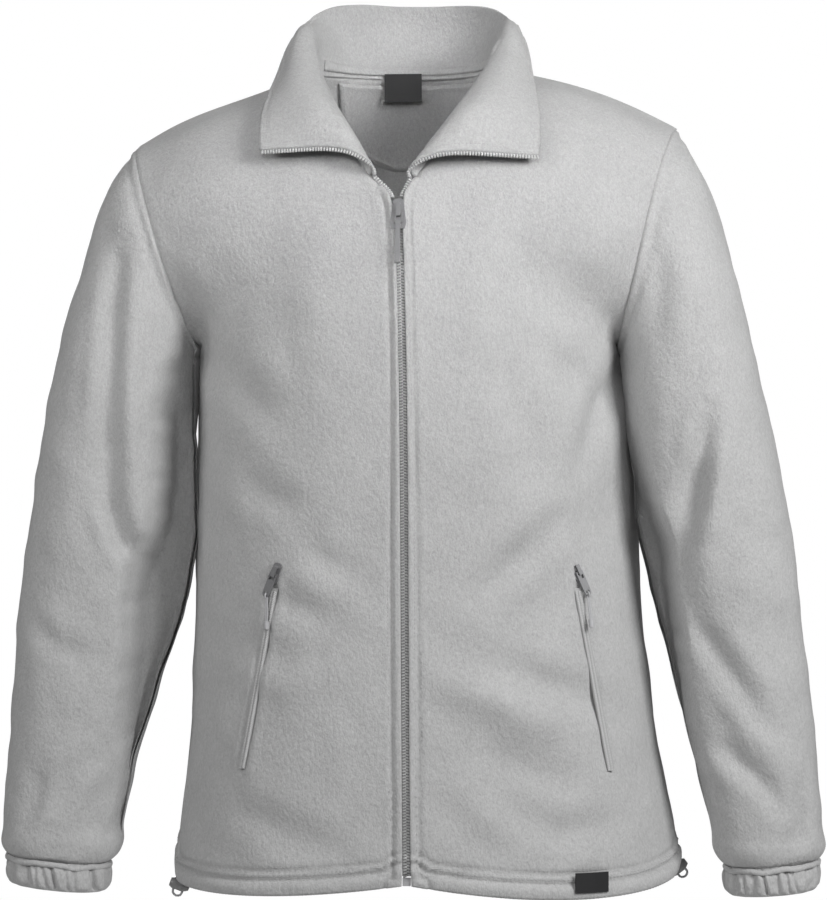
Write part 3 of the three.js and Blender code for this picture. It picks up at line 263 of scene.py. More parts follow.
def rim_loops(node, wall_edge=3.3):
    """The sewn edges of a wall as lines of points, each with its ways into and out of the cloth."""
    wall, rim = wall_of(node)
    sharp = wall.edges.layers.float["crease_edge"]
    left = dict.fromkeys(
        edge for edge in wall.edges if edge[sharp] > 0.5 and edge.calc_length() > wall_edge * MM
    )
    loops = []
    while left:
        edge = next(iter(left))
        del left[edge]
        line = [edge.verts[0], edge.verts[1]]
        for _ in range(2):
            following = [e for e in line[-1].link_edges if e in left]
            while following:
                del left[following[0]]
                line.append(following[0].other_vert(line[-1]))
                following = [e for e in line[-1].link_edges if e in left]
            line.reverse()
        inward = []
        outward = []
        for vert in line:
            partners = [e.other_vert(vert) for e in vert.link_edges if e.other_vert(vert) in rim]
            partner = min(partners, key=lambda other: (other.co - vert.co).length)
            outward.append((vert.co - partner.co).normalized())
            inward.append(inward_from(vert, rim))
        for k, way in enumerate(inward):
            if way.length < 0.5:
                inward[k] = (inward[k - 1] + inward[(k + 1) % len(line)]).normalized()
        loops.append({
            "co": np.array([vert.co / MM for vert in line]),
            "inward": np.array(inward),
            "outward": np.array(outward),
        })
    wall.free()
    return loops


def points_of(panel):
    flat = np.empty(len(panel.data.vertices) * 3)
    panel.data.vertices.foreach_get("co", flat)
    return flat.reshape(-1, 3) / MM


def rim_points(panel):
    creases = panel.data.attributes["crease_edge"].data
    ends = set()
    for edge in panel.data.edges:
        if creases[edge.index].value > 0.5:
            ends.update(edge.vertices)
    return points_of(panel)[sorted(ends)]


def distance_to(points, targets):
    if len(targets) == 0:
        return np.full(len(points), 1e3)
    tree = KDTree(len(targets))
    for index, target in enumerate(targets):
        tree.insert(Vector(target), index)
    tree.balance()
    return np.array([tree.find(Vector(p))[2] for p in points])


def smooth_step(value, low, high):
    t = np.clip((value - low) / (high - low), 0, 1)
    return t * t * (3 - 2 * t)


def crease_press(points, crease):
    """Depth pressed in by one crease, soft-sided and running out at both ends."""
    line = np.array(crease["line"], float)
    spans = np.linalg.norm(np.diff(line, axis=0), axis=1)
    reach = np.concatenate([[0], np.cumsum(spans)]) / spans.sum()
    flat = points[:, [0, 2]]
    best = np.full(len(points), 1e9)
    along = np.zeros(len(points))
    for k in range(len(line) - 1):
        step = line[k + 1] - line[k]
        t = np.clip(((flat - line[k]) @ step) / (step @ step), 0, 1)
        gap = np.linalg.norm(flat - (line[k] + t[:, None] * step), axis=1)
        nearer = gap < best
        best = np.where(nearer, gap, best)
        along = np.where(nearer, reach[k] + t * (reach[k + 1] - reach[k]), along)
    width = crease["width"]
    trough = np.exp(-((best / width) ** 2)) - 0.3 * np.exp(-(((best - 2 * width) / width) ** 2))
    run_out = np.sqrt(np.clip(np.sin(np.pi * np.clip(along, 0.02, 0.98)), 0, 1))
    return crease["depth"] * trough * run_out


def ripple(points, size, height, seed):
    return np.array([
        cloth_noise.noise(Vector((p[0] / size, p[1] / size + seed, p[2] / size))) for p in points
    ]) * height


def finish_panel(panel, points, nodes, material):
    panel.data.vertices.foreach_set("co", (points * MM).ravel())
    panel.data.update()
    panel.data.materials.clear()
    panel.data.materials.append(material)
    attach(panel, "garment")
    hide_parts(*nodes)


# Sewing thread: grey spun polyester in short lockstitches, set into the groove that they pull in the
# fleece. A row keeps a set distance from an edge.
STITCH = {"long": 2.7, "thick": 0.42, "pitch": 3.5, "sunk": 0.15}
THREAD_GREY = 0.34


def thin_material(name, colour, rough, metallic, grain, rise):
    made = bpy.data.materials.new(name)
    made.use_nodes = True
    nodes, link = made.node_tree.nodes, made.node_tree.links.new
    surface = nodes["Principled BSDF"]
    surface.inputs["Roughness"].default_value = rough
    surface.inputs["Metallic"].default_value = metallic
    place = nodes.new("ShaderNodeTexCoord")
    speckle = nodes.new("ShaderNodeTexNoise")
    speckle.inputs["Scale"].default_value = grain
    link(place.outputs["Object"], speckle.inputs["Vector"])
    bump = nodes.new("ShaderNodeBump")
    bump.inputs["Strength"].default_value = rise
    bump.inputs["Distance"].default_value = 0.0005
    link(speckle.outputs["Fac"], bump.inputs["Height"])
    link(bump.outputs["Normal"], surface.inputs["Normal"])
    ramp = nodes.new("ShaderNodeValToRGB")
    ramp.color_ramp.elements[0].color = (*[c * 0.88 for c in colour], 1)
    ramp.color_ramp.elements[1].color = (*[c * 1.1 for c in colour], 1)
    link(speckle.outputs["Fac"], ramp.inputs["Fac"])
    link(ramp.outputs["Color"], surface.inputs["Base Color"])
    return made


thread = thin_material("thread", [THREAD_GREY] * 3, 0.7, 0.0, 2600, 0.2)
one_stitch = bmesh.new()
bmesh.ops.create_uvsphere(one_stitch, u_segments=6, v_segments=4, radius=0.5 * MM)
bmesh.ops.rotate(one_stitch, verts=one_stitch.verts, matrix=Matrix.Rotation(math.radians(90), 3, "Y"))
bmesh.ops.scale(
    one_stitch, verts=one_stitch.verts, vec=(STITCH["long"], 2 * STITCH["thick"], 2 * STITCH["thick"]),
)
stitch_shape = bpy.data.meshes.new("one_stitch")
one_stitch.to_mesh(stitch_shape)
one_stitch.free()


def repeated(name, shape, places, material, body="garment"):
    """Many small like pieces in one mesh."""
    gathered = bmesh.new()
    for place in places:
        one = shape.copy()
        one.transform(place)
        gathered.from_mesh(one)
        bpy.data.meshes.remove(one)
    data = bpy.data.meshes.new(name)
    gathered.to_mesh(data)
    gathered.free()
    data.shade_smooth()
    data.materials.append(material)
    made = bpy.data.objects.new(name, data)
    bpy.context.scene.collection.objects.link(made)
    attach(made, body)
    return made


def surface_of(panel):
    return BVHTree.FromObject(panel, bpy.context.evaluated_depsgraph_get())


def set_along(at, run, out):
    side = out.cross(run).normalized()
    return Matrix.Translation(at) @ Matrix((run, side, run.cross(side))).transposed().to_4x4()


def along_line(line, pitch):
    """Points a pitch apart along a line, and where each lies between the line's own points."""
    steps = np.linalg.norm(np.diff(line, axis=0), axis=1)
    walked = np.concatenate([[0], np.cumsum(steps)])
    return np.interp(np.arange(0, walked[-1], pitch), walked, np.arange(len(line)))


def between_rows(rows, places):
    return np.stack([np.interp(places, np.arange(len(rows)), rows[:, k]) for k in range(3)], axis=1)


# Height above the edge from which a stitch is set down on the cloth
REACH = 5


def stitch_row(loop, inset, keep, cloth):
    """Places of the stitches in a row that keeps its distance from the edge."""
    places = along_line(loop["co"], STITCH["pitch"])
    edge = between_rows(loop["co"], places)
    chosen = keep(edge)
    inset = np.broadcast_to(inset(edge) if callable(inset) else inset, len(edge))
    reach = edge + between_rows(loop["inward"], places) * inset[:, None]
    reach += between_rows(loop["outward"], places) * REACH
    found = [cloth.find_nearest(Vector(p) * MM) for p in reach]
    made = []
    for k in range(1, len(found) - 1):
        if not (chosen[k - 1] and chosen[k] and chosen[k + 1]):
            continue
        run = (found[k + 1][0] - found[k - 1][0]).normalized()
        at, out = found[k][0], found[k][1]
        run = (run - out * run.dot(out)).normalized()
        made.append(set_along(at - out * STITCH["sunk"] * MM, run, out))
    return made


# Fronts and back: three fleece panels sewn at the shoulders and sides, folded back along the zip
# and turned up into a 21 mm casing at the hem. Creases are listed as seen from the front, in millimetres.
BODY_MIDDLE = {"y": 4, "half_width": 190, "half_depth": 126, "shoulder": -190, "rise": 190}
BODY_CREASES = [
    {"face": "front", "depth": 5.9, "width": 9, "line": [(186, -240), (160, -296), (146, -352)]},
    {"face": "front", "depth": 5.6, "width": 11, "line": [(136, -374), (104, -408), (62, -444)]},
    {"face": "front", "depth": -3.6, "width": 17, "line": [(72, -92), (69, -180), (60, -280)]},
    {"face": "front", "depth": 3.6, "width": 13, "line": [(88, -268), (104, -312), (98, -346)]},
    {"face": "front", "depth": 3.9, "width": 11, "line": [(118, -246), (142, -264), (166, -290)]},
    {"face": "front", "depth": 3.9, "width": 12, "line": [(80, -502), (128, -520), (176, -542)]},
    {"face": "front", "depth": -4.8, "width": 13, "line": [(22, -508), (76, -532), (140, -562)]},
    {"face": "front", "depth": 3.6, "width": 12, "line": [(56, -570), (100, -588), (150, -606)]},
    {"face": "front", "depth": 3.6, "width": 12, "line": [(100, -628), (130, -638), (172, -634)]},
    {"face": "front", "depth": -2.8, "width": 11, "line": [(40, -600), (70, -626), (96, -648)]},
    {"face": "front", "depth": 3.9, "width": 14, "line": [(-148, -256), (-124, -284), (-96, -300)]},
    {"face": "front", "depth": 3.6, "width": 13, "line": [(-134, -344), (-112, -364), (-84, -376)]},
    {"face": "front", "depth": 3.1, "width": 11, "line": [(-80, -404), (-62, -418), (-38, -424)]},
    {"face": "front", "depth": 3.4, "width": 11, "line": [(-108, -440), (-88, -454), (-62, -466)]},
    {"face": "front", "depth": -3.1, "width": 14, "line": [(-146, -505), (-96, -520), (-44, -500)]},
    {"face": "front", "depth": 3.9, "width": 14, "line": [(-140, -618), (-96, -642), (-54, -656)]},
    {"face": "front", "depth": 4.2, "width": 9, "line": [(-196, -180), (-176, -214), (-170, -262)]},
    {"face": "front", "depth": -2.5, "width": 20, "line": [(-60, -120), (-74, -200), (-60, -280)]},
    {"face": "back", "depth": 5.0, "width": 15, "line": [(-150, -300), (-96, -330), (-40, -322)]},
    {"face": "back", "depth": 4.8, "width": 14, "line": [(148, -318), (92, -346), (30, -350)]},
    {"face": "back", "depth": 4.2, "width": 16, "line": [(-130, -440), (-70, -462), (0, -452)]},
    {"face": "back", "depth": -3.6, "width": 14, "line": [(130, -430), (70, -470), (8, -480)]},
    {"face": "back", "depth": 3.9, "width": 16, "line": [(120, -590), (60, -616), (-10, -612)]},
    {"face": "back", "depth": 3.4, "width": 14, "line": [(-60, -90), (-84, -160), (-80, -230)]},
    {"face": "back", "depth": 3.4, "width": 14, "line": [(70, -100), (96, -170), (88, -240)]},
]
SEAM_PUFF = {"rise": 1.1, "from": 0.4, "to": 4.5}
ZIP_FOLD = {"low": 7.8, "high": 6.2, "low_at": -400, "high_at": -270, "rise": 1.4, "dip": 2.0, "width": 1.6}
HEM_ROWS = {"first": 13.5, "second": 20.5, "bulge": 2.4, "ridge": 1.5, "dip": 2.2, "width": 1.8}
POCKET_LINES = {
    "front_right": {"top": (-106, -439), "low": (-134.5, -591)},
    "front_left": {"top": (143, -439), "low": (171, -592)},
}
POCKET_GROOVE = {"depth": 1.6, "width": 4.2, "lip": 1.4, "lip_at": 6.4, "lip_width": 2.2}
PANELS = [
    {"node": "front_right", "divisions": 3, "hem_cuts": 1, "cut": (0.27, 0.70), "area": 0.17, "seed": 2.1},
    {"node": "front_left", "divisions": 3, "hem_cuts": 1, "cut": (0.27, 0.70), "area": 0.172, "seed": 6.7},
    {"node": "back", "divisions": 2, "hem_cuts": 2, "cut": (0.56, 0.71), "area": 0.338, "seed": 11.3},
]


ZIP_LINE = [(-682, 4.6), (-480, 3.0), (-272, 2.0), (-175, -0.2), (-118, -3.4)]


def zip_line(z):
    rows = np.array(ZIP_LINE)
    return np.interp(z, rows[:, 0], rows[:, 1])


def fold_width(z):
    return np.interp(z, [ZIP_FOLD["low_at"], ZIP_FOLD["high_at"]], [ZIP_FOLD["low"], ZIP_FOLD["high"]])


def groove(away, middle, width):
    return np.exp(-(((away - middle) / width) ** 2))


def line_distance(points, line):
    """Distance from a straight line as seen from the front."""
    low, top = np.array(line["low"], float), np.array(line["top"], float)
    step = top - low
    flat = points[:, [0, 2]] - low
    t = np.clip(flat @ step / (step @ step), 0, 1)
    return np.linalg.norm(flat - t[:, None] * step, axis=1)


def body_outward(points):
    out = np.empty_like(points)
    out[:, 0] = points[:, 0] / BODY_MIDDLE["half_width"] ** 2
    out[:, 1] = (points[:, 1] - BODY_MIDDLE["y"]) / BODY_MIDDLE["half_depth"] ** 2
    out[:, 2] = np.clip(points[:, 2] - BODY_MIDDLE["shoulder"], 0, None) / BODY_MIDDLE["rise"] ** 2
    return out / np.linalg.norm(out, axis=1)[:, None]


# The cloth is divided again where rows of stitches press into it. Heights and distances in millimetres
HEM_BELOW = -674
FINE_CLOTH = {"below": -655, "beside_zip": 15}
FRONT_EDGE = {
    "below": -104, "ahead_of": -60, "from_zip": 12, "sewn_within": 9, "sewn_low": -674, "sewn_high": -120,
}


def along_front_edge(edge):
    near_zip = np.abs(edge[:, 0] - zip_line(edge[:, 2])) < FRONT_EDGE["sewn_within"]
    return near_zip & (edge[:, 2] > FRONT_EDGE["sewn_low"]) & (edge[:, 2] < FRONT_EDGE["sewn_high"])


body_panels = {}
for row in PANELS:
    panel = panel_from(row["node"], row["node"] + "_cloth", row["divisions"])
    points = points_of(panel)
    rim = rim_points(panel)
    beside_zip = np.abs(points[:, 0] - zip_line(points[:, 2])) < FINE_CLOTH["beside_zip"]
    beside_zip &= (points[:, 2] < FRONT_EDGE["below"]) & (points[:, 1] < FRONT_EDGE["ahead_of"])
    finer(panel, (points[:, 2] < FINE_CLOTH["below"]) | beside_zip, row["hem_cuts"])
    points = points_of(panel)
    outward = body_outward(points)
    at_hem = rim[:, 2] < HEM_BELOW
    at_zip = np.abs(rim[:, 0] - zip_line(rim[:, 2])) < FRONT_EDGE["from_zip"]
    at_zip &= (rim[:, 2] < FRONT_EDGE["below"]) & (rim[:, 1] < FRONT_EDGE["ahead_of"])
    hem_away = distance_to(points, rim[at_hem])
    zip_away = distance_to(points, rim[at_zip])
    seam_away = distance_to(points, rim[~at_hem & ~at_zip])
    free = smooth_step(seam_away, 3, 14) * smooth_step(hem_away, 14, 30) * smooth_step(zip_away, 7, 16)
    pressed = np.zeros(len(points))
    for crease in BODY_CREASES:
        if (crease["face"] == "back") == (row["node"] == "back"):
            pressed += crease_press(points, crease)
    pressed *= free
    pressed -= free * (ripple(points, 60, 2.4, row["seed"]) + ripple(points, 24, 0.9, row["seed"] + 3))
    pressed -= SEAM_PUFF["rise"] * smooth_step(seam_away, SEAM_PUFF["from"], SEAM_PUFF["to"])
    fold = fold_width(points[:, 2])
    pressed -= ZIP_FOLD["rise"] * smooth_step(fold - zip_away, 0.5, 3.5)
    pressed += ZIP_FOLD["dip"] * groove(zip_away, fold, ZIP_FOLD["width"])
    casing = np.clip(hem_away / HEM_ROWS["first"], 0, 1)
    pressed -= HEM_ROWS["bulge"] * np.sin(np.pi * casing) * (1 + 0.4 * ripple(points, 18, 1.0, 5.5))
    between_seams = (HEM_ROWS["first"] + HEM_ROWS["second"]) / 2
    pressed -= HEM_ROWS["ridge"] * groove(hem_away, between_seams, 2.4)
    for stitched in (HEM_ROWS["first"], HEM_ROWS["second"]):
        pressed += HEM_ROWS["dip"] * groove(hem_away, stitched, HEM_ROWS["width"])
    if row["node"] in POCKET_LINES:
        zip_side = line_distance(points, POCKET_LINES[row["node"]])
        pressed += POCKET_GROOVE["depth"] * groove(zip_side, 0, POCKET_GROOVE["width"])
        lip = groove(zip_side, POCKET_GROOVE["lip_at"], POCKET_GROOVE["lip_width"])
        pressed -= POCKET_GROOVE["lip"] * lip
    finish_panel(
        panel, points - outward * pressed[:, None], [row["node"]], body_fleece,
    )
    body_panels[row["node"]] = panel

    cloth = surface_of(panel)
    places = []
    for loop in rim_loops(row["node"]):
        if np.mean(np.sum(loop["outward"] * body_outward(loop["co"]), axis=1)) < 0:
            continue
        for stitched in (HEM_ROWS["first"], HEM_ROWS["second"]):
            places += stitch_row(loop, stitched, lambda edge: edge[:, 2] < HEM_BELOW, cloth)
        if row["node"] != "back":
            places += stitch_row(
                loop, lambda edge: fold_width(edge[:, 2]),
                along_front_edge, cloth,
            )
    repeated(row["node"] + "_stitches", stitch_shape, places, thread)

# Sleeves: one piece each with a single underarm seam, set in below the shoulder. They hang a
# little forward, with deep folds at the elbow that run in from the inner side.
SLEEVE_MIDDLES = {
    "right": [(-60, -214, 8), (-150, -232, -2), (-250, -246, -14), (-350, -254, -18), (-450, -266, -17),
              (-550, -284, -16), (-640, -299, -17), (-690, -304, -18)],
    "left": [(-50, 204, 8), (-150, 224, -2), (-250, 242, -14), (-350, 254, -18), (-450, 269, -17),
             (-550, 286, -16), (-640, 302, -17), (-690, 307, -18)],
}
SLEEVE_HALVES = {"across": 62, "deep": 62}
ARMHOLE_ROLL = {"at": 3.6, "rise": 0.9, "width": 2.2, "dip_at": 9.0, "dip": 1.6, "dip_width": 4.0}
CUFF_BLOUSE = {"height": -660, "rise": 1.6, "width": 9}
SLEEVE_HOLLOWS = {
    "right": [
        (-656, -262, 0), (-642, -256, 30), (-605, -248, 28), (-560, -250, 40), (-501, -245, 56),
        (-451, -243, 62), (-425, -238, 62), (-405, -229, 62), (-384, -221, 60), (-342, -216, 56),
        (-300, -217, 52), (-260, -211, 36),
        (-215, -196, 0),
    ],
    "left": [
        (-650, 262, 0), (-600, 255, 8), (-560, 247, 16), (-501, 238, 30), (-470, 234, 44), (-430, 228, 54),
        (-400, 224, 54), (-375, 215, 46), (-350, 206, 30), (-320, 200, 8), (-300, 198, 0),
    ],
}
HOLLOW_EDGE = 12
HOLLOW_ROOM = 8
HOLLOW_LEAN = 0.06
SLEEVE_SWELL = {
    "right": [(-530, 0), (-484, 2.5), (-451, 5.2), (-405, 5.0), (-350, 2.2), (-300, 1.2), (-270, 0)],
    "left": [(-450, 0), (-410, 2.5), (-388, 4.0), (-350, 3.0), (-310, 1.2), (-265, 1.6), (-235, 0)],
}
SLEEVE_CREASES = {
    "right": [
        {
            "face": "front", "depth": 7.0, "width": 8,
            "line": [(-240, -150), (-245, -200), (-248, -284), (-249, -346)],
        },
        {"face": "front", "depth": -3.4, "width": 9, "line": [(-230, -250), (-232, -330), (-224, -388)]},
        {
            "face": "front", "depth": 9.0, "width": 8,
            "line": [(-250, -346), (-247, -375), (-238, -402), (-222, -426)],
        },
        {"face": "front", "depth": 3.2, "width": 9, "line": [(-300, -640), (-284, -600), (-262, -578)]},
        {"face": "front", "depth": 3.2, "width": 8, "line": [(-330, -652), (-316, -626), (-308, -596)]},
        {"face": "front", "depth": 2.8, "width": 9, "line": [(-318, -470), (-296, -492), (-266, -498)]},
        {"face": "back", "depth": 3.0, "width": 9, "line": [(-300, -300), (-262, -330), (-220, -372)]},
        {"face": "back", "depth": 2.6, "width": 10, "line": [(-310, -380), (-270, -400), (-226, -420)]},
        {"face": "back", "depth": 2.2, "width": 10, "line": [(-330, -560), (-300, -600), (-268, -620)]},
    ],
    "left": [
        {
            "face": "front", "depth": 8.0, "width": 8,
            "line": [(252, -292), (245, -340), (234, -390), (224, -425)],
        },
        {"face": "front", "depth": -3.6, "width": 9, "line": [(264, -330), (256, -390), (248, -440)]},
        {"face": "front", "depth": 4.6, "width": 9, "line": [(236, -462), (268, -506), (292, -540)]},
        {"face": "front", "depth": -3.0, "width": 9, "line": [(260, -530), (284, -560), (312, -580)]},
        {"face": "front", "depth": 4.6, "width": 8, "line": [(252, -566), (290, -596), (314, -622)]},
        {"face": "front", "depth": 3.6, "width": 6, "line": [(326, -600), (330, -632), (328, -656)]},
        {"face": "front", "depth": 3.0, "width": 10, "line": [(206, -140), (212, -190), (206, -240)]},
        {"face": "back", "depth": 3.0, "width": 9, "line": [(296, -290), (258, -326), (218, -366)]},
        {"face": "back", "depth": 2.6, "width": 10, "line": [(312, -390), (272, -412), (226, -430)]},
        {"face": "back", "depth": 2.2, "width": 10, "line": [(330, -560), (304, -600), (272, -624)]},
    ],
}


def tube_outward(points, middles, halves):
    rows = np.array(sorted(middles), float)
    across = np.interp(points[:, 2], rows[:, 0], rows[:, 1])
    deep = np.interp(points[:, 2], rows[:, 0], rows[:, 2])
    out = np.zeros_like(points)
    out[:, 0] = (points[:, 0] - across) / halves["across"] ** 2
    out[:, 1] = (points[:, 1] - deep) / halves["deep"] ** 2
    return out / np.linalg.norm(out, axis=1)[:, None]


for side, seed in (("right", 21.5), ("left", 31.9)):
    node = "sleeve_" + side
    panel = panel_from(node, node + "_cloth", 3)
    points = points_of(panel)
    rim = rim_points(panel)
    outward = tube_outward(points, SLEEVE_MIDDLES[side], SLEEVE_HALVES)
    seam_away = distance_to(points, rim)
    armhole_away = distance_to(points, rim[rim[:, 2] > -300])
    free = smooth_step(seam_away, 3, 14)
    pressed = np.zeros(len(points))
    for crease in SLEEVE_CREASES[side]:
        toward = -outward[:, 1] if crease["face"] == "front" else outward[:, 1]
        pressed += crease_press(points, crease) * smooth_step(toward, -0.15, 0.3)
    pressed *= free
    pressed -= free * (ripple(points, 50, 2.6, seed) + ripple(points, 20, 0.9, seed + 4))
    pressed -= SEAM_PUFF["rise"] * smooth_step(seam_away, SEAM_PUFF["from"], SEAM_PUFF["to"])
    pressed -= ARMHOLE_ROLL["rise"] * groove(armhole_away, ARMHOLE_ROLL["at"], ARMHOLE_ROLL["width"])
    pressed += ARMHOLE_ROLL["dip"] * groove(armhole_away, ARMHOLE_ROLL["dip_at"], ARMHOLE_ROLL["dip_width"])
    pressed -= CUFF_BLOUSE["rise"] * groove(points[:, 2], CUFF_BLOUSE["height"], CUFF_BLOUSE["width"])
    toward_body = -1 if side == "left" else 1
    swell = np.array(SLEEVE_SWELL[side], float)
    inner_edge = smooth_step(toward_body * outward[:, 0], 0.3, 0.9) * smooth_step(seam_away, 2, 12)
    pressed -= inner_edge * np.interp(points[:, 2], swell[:, 0], swell[:, 1])
    points = points - outward * pressed[:, None]
    hollow = np.array(SLEEVE_HOLLOWS[side], float)
    past_edge = toward_body * (points[:, 0] - np.interp(points[:, 2], hollow[:, 0], hollow[:, 1]))
    past_edge += ripple(points, 14, 3.0, seed)
    sunk = np.interp(points[:, 2], hollow[:, 0], hollow[:, 2]) * smooth_step(past_edge, 0, HOLLOW_EDGE)
    sunk *= smooth_step(seam_away, 2, 12)
    middles = np.array(sorted(SLEEVE_MIDDLES[side]), float)
    ahead = np.interp(points[:, 2], middles[:, 0], middles[:, 2]) - points[:, 1]
    room = np.maximum(2 * ahead - HOLLOW_ROOM, 0.1)
    # The smaller of the hollow's depth and the room behind it, blended softly
    sunk = (np.maximum(sunk, 0.1) ** -4 + room ** -4) ** -0.25
    points[:, 1] += sunk
    points[:, 0] += toward_body * HOLLOW_LEAN * sunk
    finish_panel(
        panel, points, [node], body_fleece,
    )

# Cuffs: the sleeve end turned up over elastic, which draws it into small uneven gathers. The sleeve
# is sewn on in a thick rolled seam that stands proud above them.
CUFF_MIDDLES = {"right": [(-720, -303, -17), (-660, -303, -17)], "left": [(-720, 308, -17), (-660, 308, -17)]}
CUFF_HALVES = {"across": 44, "deep": 40}
CUFF_HEIGHTS = {"top": -678, "low": -700}
GATHERS = {
    "right": [
        {"top": -324, "low": -319, "depth": 1.2}, {"top": -317, "low": -315, "depth": 0.9},
        {"top": -311, "low": -306, "depth": 1.3}, {"top": -303, "low": -298, "depth": 2.3},
        {"top": -291, "low": -289, "depth": 1.2}, {"top": -284, "low": -283, "depth": 0.9},
        {"top": -271, "low": -268, "depth": 2.4}, {"top": -261, "low": -256, "depth": 1.3},
    ],
    "left": [
        {"top": 275, "low": 276, "depth": 1.1}, {"top": 280, "low": 284, "depth": 1.4},
        {"top": 290, "low": 291, "depth": 1.0}, {"top": 297, "low": 302, "depth": 2.4},
        {"top": 309, "low": 312, "depth": 1.5}, {"top": 317, "low": 320, "depth": 1.7},
        {"top": 321, "low": 328, "depth": 1.3}, {"top": 335, "low": 336, "depth": 1.1},
    ],
}
GATHER = {"width": 1.6, "crown": 0.9, "behind": 19}
CUFF_ROLL = {"thick": 2.5, "out": 1.0, "down": 2.0, "points": 90}


def tube_along(name, line, radius, sides=8):
    """Round tube on a closed line of points in millimetres."""
    path = bpy.data.curves.new(name, "CURVE")
    path.dimensions = "3D"
    run = path.splines.new("POLY")
    run.points.add(len(line) - 1)
    run.points.foreach_set("co", np.column_stack([line * MM, np.ones(len(line))]).ravel())
    run.use_cyclic_u = True
    path.bevel_depth = radius * MM
    path.bevel_resolution = sides // 2 - 1
    bent = bpy.data.objects.new(name + "_route", path)
    bpy.context.scene.collection.objects.link(bent)
    data = bpy.data.meshes.new_from_object(bent.evaluated_get(bpy.context.evaluated_depsgraph_get()))
    bpy.data.objects.remove(bent)
    data.name = name
    data.shade_smooth()
    tube = bpy.data.objects.new(name, data)
    bpy.context.scene.collection.objects.link(tube)
    return tube


for side, seed in (("right", 3.3), ("left", 8.8)):
    node = "cuff_" + side
    panel = panel_from(node, node + "_cloth", 3)
    points = points_of(panel)
    rim = rim_points(panel)
    outward = tube_outward(points, CUFF_MIDDLES[side], CUFF_HALVES)
    free = smooth_step(distance_to(points, rim), 0.3, 5)
    middle = CUFF_MIDDLES[side][0]
    angle = np.arctan2(points[:, 1] - middle[2], points[:, 0] - middle[1])
    down = np.clip((CUFF_HEIGHTS["top"] - points[:, 2]) / (CUFF_HEIGHTS["top"] - CUFF_HEIGHTS["low"]), 0, 1)
    in_front = smooth_step(-outward[:, 1], 0.0, 0.35)
    behind = np.sin(angle * GATHER["behind"] + seed + 1.6 * np.sin(angle * 3 + seed))
    pressed = (1 - in_front) * 0.9 * behind
    for gather in GATHERS[side]:
        middle_x = gather["top"] + (gather["low"] - gather["top"]) * down
        pressed += in_front * 1.4 * gather["depth"] * groove(points[:, 0], middle_x, GATHER["width"])
        pressed -= in_front * 0.35 * gather["depth"] * groove(points[:, 0], middle_x + 3.4, 2.2)
    pressed = free * (pressed - ripple(points, 8, 1.2, seed))
    pressed -= GATHER["crown"] * np.sin(np.pi * np.clip(down, 0, 1))
    roll_line = max(
        (loop for loop in rim_loops(node, 2.6) if np.mean(np.sum(
            loop["outward"] * tube_outward(loop["co"], CUFF_MIDDLES[side], CUFF_HALVES), axis=1)) > 0),
        key=lambda loop: loop["co"][:, 2].mean(),
    )["co"]
    steps = np.linspace(0, len(roll_line) - 1, CUFF_ROLL["points"], endpoint=False)
    smooth_line = between_rows(roll_line, steps)
    smooth_line += tube_outward(smooth_line, CUFF_MIDDLES[side], CUFF_HALVES) * CUFF_ROLL["out"]
    smooth_line[:, 2] += ripple(smooth_line, 11, 2.2, seed) - CUFF_ROLL["down"]
    roll = tube_along(node + "_roll", smooth_line, CUFF_ROLL["thick"])
    roll.data.materials.append(body_fleece)
    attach(roll, "garment")
    finish_panel(
        panel, points - outward * pressed[:, None], [node], body_fleece,
    )

# Collar: two layers of fleece, stitched round close to the edge, turned down over its own roll
COLLAR_STITCH = {"inset": 5.2, "dip": 1.1, "width": 1.3, "edge_puff": 0.6}
collar = panel_from("collar", "collar_cloth", 3)
collar_points = points_of(collar)
collar_rim = rim_points(collar)
normals = np.empty(len(collar.data.vertices) * 3)
collar.data.vertices.foreach_get("normal", normals)
normals = normals.reshape(-1, 3)


def at_neck_seam(points):
    return (points[:, 2] < 12) & (points[:, 1] > -20) & (np.abs(points[:, 0]) < 92)


def at_back_roll(points):
    return (points[:, 1] > -10) & (points[:, 2] > 30)


stitched_rim = collar_rim[~at_neck_seam(collar_rim) & ~at_back_roll(collar_rim)]
edge_away = distance_to(collar_points, stitched_rim)
sink = COLLAR_STITCH["dip"] * groove(edge_away, COLLAR_STITCH["inset"], COLLAR_STITCH["width"])
sink -= COLLAR_STITCH["edge_puff"] * smooth_step(-edge_away, -5, -1) * (edge_away > 0.5)
collar_waves = ripple(collar_points, 26, 1.1, 17.7) + ripple(collar_points, 60, 1.4, 4.2)
sink -= smooth_step(edge_away, 6, 16) * collar_waves
finish_panel(
    collar, collar_points - normals * sink[:, None] * 0.6, ["collar"], body_fleece,
)
collar_cloth = surface_of(collar)
places = []
for loop in rim_loops("collar", 3.4):
    places += stitch_row(
        loop, COLLAR_STITCH["inset"], lambda edge: ~at_neck_seam(edge) & ~at_back_roll(edge), collar_cloth,
    )
repeated("collar_stitches", stitch_shape, places, thread)

